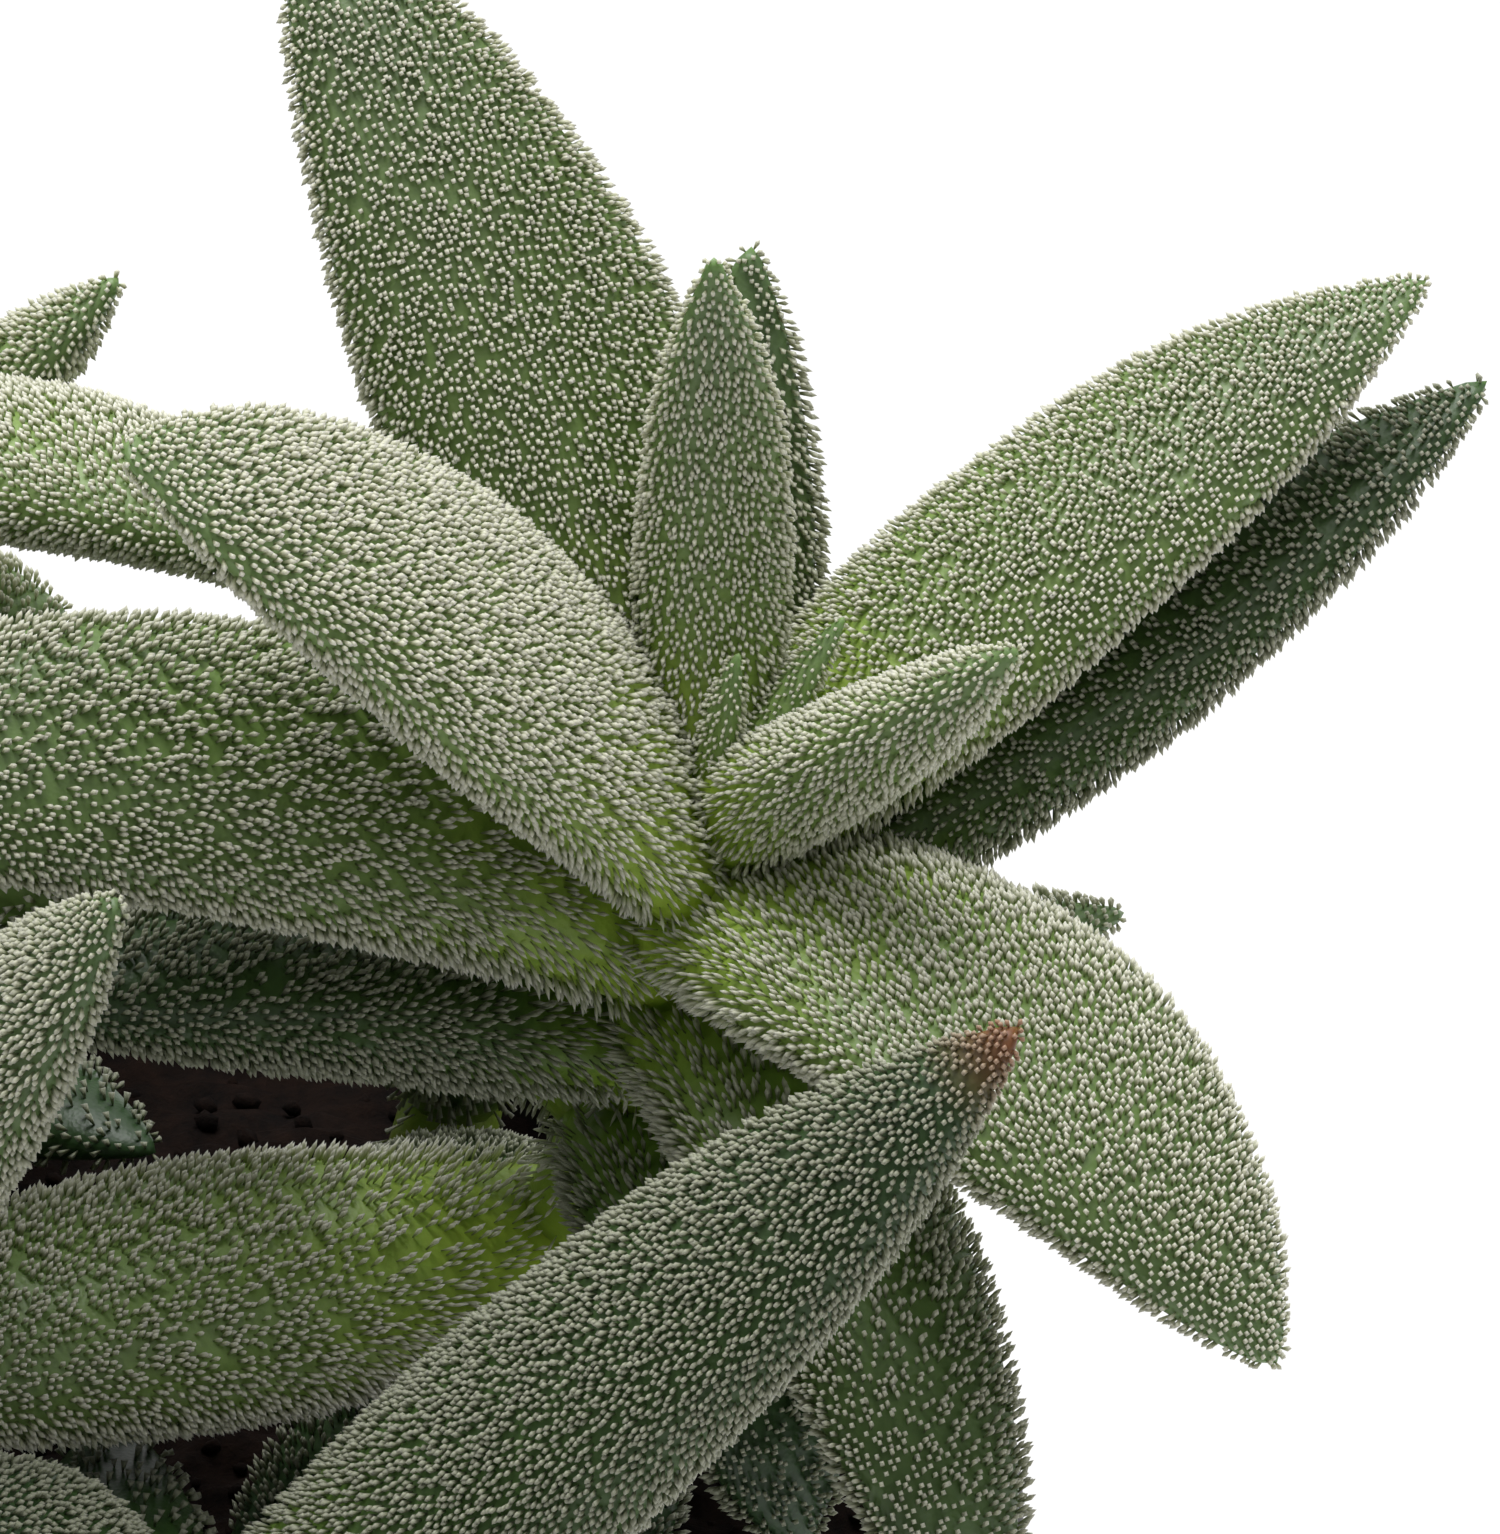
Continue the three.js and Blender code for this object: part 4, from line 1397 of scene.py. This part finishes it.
@dataclass(frozen=True)
class Peat:
    """Damp peat: dark red-brown crumbs and fibres, painted near black: partly the damp peat's own
    dark, partly painted shade from the leaves over it.
    """

    # Both colours are darker than the peat's own brown: painted shade, for the shade the leaves
    # cast on the soil
    dark: str = "#0A0605"
    light: str = "#22150F"
    crumb_mm: float = 1.4

    def material(self) -> bpy.types.Material:
        """Builds the material."""
        made, tree = new_material("damp_peat")
        place = add_node(tree, "ShaderNodeTexCoord").outputs["Object"]
        grain = add_node(
            tree, "ShaderNodeTexNoise", {},
            {"Vector": place, "Scale": 1 / (self.crumb_mm * MM), "Detail": 8.0, "Roughness": 0.7},
        ).outputs["Fac"]
        ramp = add_node(tree, "ShaderNodeValToRGB", {}, {0: grain})
        colour_ramp(ramp, [(0.35, self.dark), (0.72, self.light)])
        bump = add_node(
            tree, "ShaderNodeBump", {}, {"Strength": 0.9, "Distance": 0.5 * MM, "Height": grain},
        ).outputs[0]
        add_surface(
            tree,
            {
                "Base Color": ramp.outputs[0], "Roughness": 0.92, "Specular IOR Level": 0.12,
                "Normal": bump,
            },
        )
        return made


@dataclass(frozen=True)
class MouldedPolypropylene:
    """Black-brown polypropylene from an injection mould: satin, with faint flow marks."""

    black: str = "#1B1917"
    dusty: str = "#3A332D"
    grain_mm: float = 0.5
    flow_mm: float = 9.0

    def material(self) -> bpy.types.Material:
        """Builds the material."""
        made, tree = new_material("moulded_polypropylene")
        place = add_node(tree, "ShaderNodeTexCoord").outputs["Object"]
        flow = add_node(
            tree, "ShaderNodeTexNoise", {},
            {"Vector": place, "Scale": 1 / (self.flow_mm * MM), "Detail": 5.0, "Roughness": 0.6},
        ).outputs["Fac"]
        ramp = add_node(tree, "ShaderNodeValToRGB", {}, {0: flow})
        colour_ramp(ramp, [(0.4, self.black), (0.85, self.dusty)])
        grain = add_node(
            tree, "ShaderNodeTexNoise", {},
            {"Vector": place, "Scale": 1 / (self.grain_mm * MM), "Detail": 2.0},
        ).outputs["Fac"]
        rough = add_node(
            tree, "ShaderNodeMapRange", {},
            {"Value": flow, "From Min": 0.3, "From Max": 0.7, "To Min": 0.36, "To Max": 0.52},
        ).outputs["Result"]
        bump = add_node(
            tree, "ShaderNodeBump", {}, {"Strength": 0.25, "Distance": 0.05 * MM, "Height": grain},
        ).outputs[0]
        add_surface(
            tree, {"Base Color": ramp.outputs[0], "Roughness": rough, "IOR": 1.49, "Normal": bump},
        )
        return made


class Plant:
    """The leafy stems with their leaves and coats."""

    # Square millimetres of skin for one piece, whose bristles stay well under 200,000 triangles
    AREA_OF_ONE_COAT = {Nearness.SHOWN: 2300.0, Nearness.GROWN: 6000.0}

    # A stalk's skin, roughly, in square millimetres
    AREA_OF_STALK = 500.0

    # Heights in mm: leaves above the first are young and lit, and those the second below it old and
    # in shade; lower leaves are painted darker as painted shade
    YOUNG_AND_LIT_ABOVE = 88.0
    OLD_AND_SHADED_BELOW_BY = 20.0

    def __init__(self, soil: SoilBed, pot: Pot) -> None:
        """Sets out the stems and gives each its leaves."""
        self.soil = soil
        self.pot = pot
        self.leaf_form = LeafForm()
        self.stems = [GrownStem(stem, StemForm(), self.leaf_form, soil.level) for stem in STEMS]
        for grown in self.stems:
            self._give_leaves(grown)

    def _meets_pot(self, centres: np.ndarray, radii: np.ndarray) -> bool:
        """Whether any ball meets the pot's rim or wall, or the soil."""
        pot, clearance = self.pot, self.leaf_form.clearance
        out = np.hypot(centres[:, 0], centres[:, 1])
        bottom = centres[:, 2] - radii - clearance
        clear_outside = out - radii > pot.rim_radius + clearance
        clear_inside = out + radii < pot.rim_radius - pot.rim_thickness
        rim = ~clear_outside & ~clear_inside & (bottom < pot.height)
        highest = self.soil.level + self.soil.crown + self.soil.relief
        ground = (out < pot.rim_radius) & (bottom < highest)
        return bool((rim | ground).any())

    def _give_leaves(self, grown: GrownStem) -> None:
        """Gives a stem its grown leaves, each turned or shortened until it is clear."""
        others = [guard for other in self.stems if other is not grown for guard in other.guards]
        centres = np.vstack([guard[0] for guard in others])
        radii = np.concatenate([guard[1] for guard in others])
        for leaf in grown.grown_leaves():
            for turn_up, turn_round, share in GIVING_WAY:
                tried = replace(
                    leaf,
                    pitch=leaf.pitch + turn_up,
                    azimuth=leaf.azimuth + turn_round,
                    length=leaf.length * share,
                    width=leaf.width * math.sqrt(share),
                )
                spots, sizes = tried.balls()
                if self._meets_pot(spots, sizes):
                    continue
                apart = np.linalg.norm(spots[:, None] - centres[None], axis=2)
                if (apart < sizes[:, None] + radii[None] + self.leaf_form.clearance).any():
                    continue
                grown.leaves.append(tried)
                grown.guards.append((spots, sizes))
                break

    def build(self, skin: bpy.types.Material, coat: Coat) -> list[bpy.types.Object]:
        """Builds the skins and coats of all stems.

        Args:
            skin: The material of leaves and stems.
            coat: The coat of bristles.

        Returns:
            The pieces.
        """
        made = []
        for number, grown in enumerate(self.stems):
            rng = random.Random(100 + number)
            ages_and_shades = [self._age_and_shade(leaf, rng.random()) for leaf in grown.leaves]
            shells = Shells()
            grown.add_stalk(shells)
            for leaf, tone in zip(grown.leaves, ages_and_shades):
                leaf.add_skin(shells, tone)
            body = shells.build(f"{grown.stem.name}_skin", skin)
            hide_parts(grown.stem.name)
            made.append(body)
            made.extend(self._coats(grown, ages_and_shades, coat, number))
            LOG.info("%s: %d leaves", grown.stem.name, len(grown.leaves))
        return made

    def _age_and_shade(self, leaf: Leaf, chance: float) -> float:
        """How dark and dull a leaf is painted, from 0 to 1: the lower it sits, the older it is and
        the deeper its painted shade.
        """
        if leaf.own_age_and_shade is not None:
            return leaf.own_age_and_shade
        lowered = (self.YOUNG_AND_LIT_ABOVE - float(leaf.base[2])) / self.OLD_AND_SHADED_BELOW_BY
        return min(1.0, max(0.0, 0.85 * lowered + 0.15 * chance))

    def _coats(
        self, grown: GrownStem, ages_and_shades: list[float], coat: Coat, number: int
    ) -> list[bpy.types.Object]:
        """Grows one stem's coats, in as many pieces as its area asks for."""
        made: list[bpy.types.Object] = []
        for nearness in Nearness:
            toned = zip(grown.leaves, ages_and_shades)
            leaves = [(leaf, tone) for leaf, tone in toned if leaf.nearness is nearness]
            leaves.sort(key=lambda item: item[0].pair)
            kind = Bristle.CLUB if nearness is Nearness.SHOWN else Bristle.PEG
            shells, area = Shells(), 0.0
            if nearness is Nearness.GROWN or not grown.stem.pairs:
                grown.add_stalk(shells)
                area = self.AREA_OF_STALK
            for leaf, tone in leaves:
                if area + leaf.skin_area() > self.AREA_OF_ONE_COAT[nearness] and shells.count:
                    made.append(self._grow(grown, shells, coat, kind, number, len(made)))
                    shells, area = Shells(), 0.0
                leaf.add_skin(shells, tone)
                area += leaf.skin_area()
            if shells.count:
                made.append(self._grow(grown, shells, coat, kind, number, len(made)))
        return made

    def _grow(
        self, grown: GrownStem, shells: Shells, coat: Coat, kind: Bristle, number: int, part: int
    ) -> bpy.types.Object:
        """Grows one piece of a coat on the gathered skins."""
        host = shells.build("coat_host", None)
        seed = 1000 + 20 * number + part
        return coat.grow(host, f"{grown.stem.name}_bristles_{part + 1}", kind, seed)


@dataclass(frozen=True)
class Studio:
    """The camera at the photograph's angle, the pale floor and the soft light."""

    target: tuple[float, float, float] = (23.3, -4.0, 90.2)
    elevation: float = 35.0
    distance: float = 300.0
    lens: float = 225.3
    sensor: float = 36.0
    floor_reach: float = 4000.0
    key_strength: float = 2.4
    key_angle: float = 40.0
    key_direction: tuple[float, float, float] = (-0.12, 0.38, 1.3)
    low_fill: float = 0.03
    overhead_fill: float = 1.0
    overhead_slant: float = 0.35
    backdrop: float = 1.05

    def build(self) -> None:
        """Sets up camera, floor, light and world."""
        self._camera()
        self._floor()
        sun = bpy.data.lights.new("key_softbox", "SUN")
        sun.energy = self.key_strength
        sun.angle = math.radians(self.key_angle)
        lamp = linked("key_softbox", sun)
        lamp.rotation_euler = Vector(self.key_direction).to_track_quat("Z", "Y").to_euler()
        self._world()
        bpy.context.scene.view_settings.view_transform = "Standard"

    def _camera(self) -> None:
        """Makes the camera, which looks along +Y and down."""
        data = bpy.data.cameras.new("photo_camera")
        data.lens = self.lens
        data.sensor_fit = "AUTO"
        data.sensor_width = self.sensor
        data.clip_start = 0.01
        data.clip_end = 20.0
        camera = linked("photo_camera", data)
        tilt = math.radians(self.elevation)
        back = Vector((0, -math.cos(tilt), math.sin(tilt)))
        camera.location = (Vector(self.target) + back * self.distance) * MM
        camera.rotation_euler = (math.pi / 2 - tilt, 0, 0)
        bpy.context.scene.camera = camera

    def _floor(self) -> None:
        """Makes the pale floor that the pot stands on."""
        reach = self.floor_reach * MM
        mesh = bpy.data.meshes.new("pale_floor")
        corners = [(-reach, -reach, 0), (reach, -reach, 0), (reach, reach, 0), (-reach, reach, 0)]
        mesh.from_pydata(corners, [], [(0, 1, 2, 3)])
        made, tree = new_material("matt_white_paper")
        add_surface(
            tree,
            {"Base Color": linear("#DEDEDE"), "Roughness": 0.9, "Specular IOR Level": 0.1},
        )
        mesh.materials.append(made)
        linked("pale_floor", mesh)

    def _world(self) -> None:
        """Makes the world: soft fill light, and a white backdrop where the camera sees it."""
        world = bpy.data.worlds.new("studio")
        world.use_nodes = True
        tree = world.node_tree
        tree.nodes.clear()
        around = add_node(tree, "ShaderNodeTexCoord").outputs["Generated"]
        overhead = add_node(
            tree, "ShaderNodeVectorMath", {"operation": "DOT_PRODUCT"},
            {0: around, 1: (0.0, self.overhead_slant, math.sqrt(1 - self.overhead_slant**2))},
        ).outputs["Value"]
        strength = add_node(
            tree, "ShaderNodeMapRange", {"interpolation_type": "SMOOTHSTEP"},
            {
                "Value": overhead, "From Min": -0.05, "From Max": 0.9, "To Min": self.low_fill,
                "To Max": self.overhead_fill,
            },
        ).outputs["Result"]
        fill = add_node(
            tree, "ShaderNodeBackground", {}, {"Color": (1, 1, 1, 1), "Strength": strength},
        ).outputs[0]
        seen = add_node(
            tree, "ShaderNodeBackground", {}, {"Color": (1, 1, 1, 1), "Strength": self.backdrop},
        ).outputs[0]
        ray = add_node(tree, "ShaderNodeLightPath").outputs["Is Camera Ray"]
        mixed = add_node(tree, "ShaderNodeMixShader", {}, {0: ray, 1: fill, 2: seen}).outputs[0]
        add_node(tree, "ShaderNodeOutputWorld", {}, {"Surface": mixed})
        bpy.context.scene.world = world


def main() -> None:
    """Builds the studio, the pot, the soil and the leafy stems, in that order, and logs their
    triangles.
    """
    logging.basicConfig(level=logging.INFO, format="%(message)s")
    Studio().build()
    pot = Pot()
    soil = SoilBed(pot)
    vessel = pot.build(MouldedPolypropylene().material())
    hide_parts("pot")
    peat = Peat().material()
    bed = soil.build(peat)
    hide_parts("soil")
    crumbs = PeatCrumbs().build(soil.patch(), peat)
    coat = Coat(CoatSizes(), PaleBristle().material())
    leafy = Plant(soil, pot).build(LeafSkin().material(), coat)
    coat.clear_away()
    for piece in leafy:
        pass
    total = 0
    for piece in [vessel, bed, crumbs, *leafy]:
        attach(piece, BODY)
        total += triangle_count(piece)
        LOG.info("%s: %d triangles", piece.name, triangle_count(piece))
    LOG.info("all pieces: %d triangles", total)


if __name__ == "__main__":
    main()
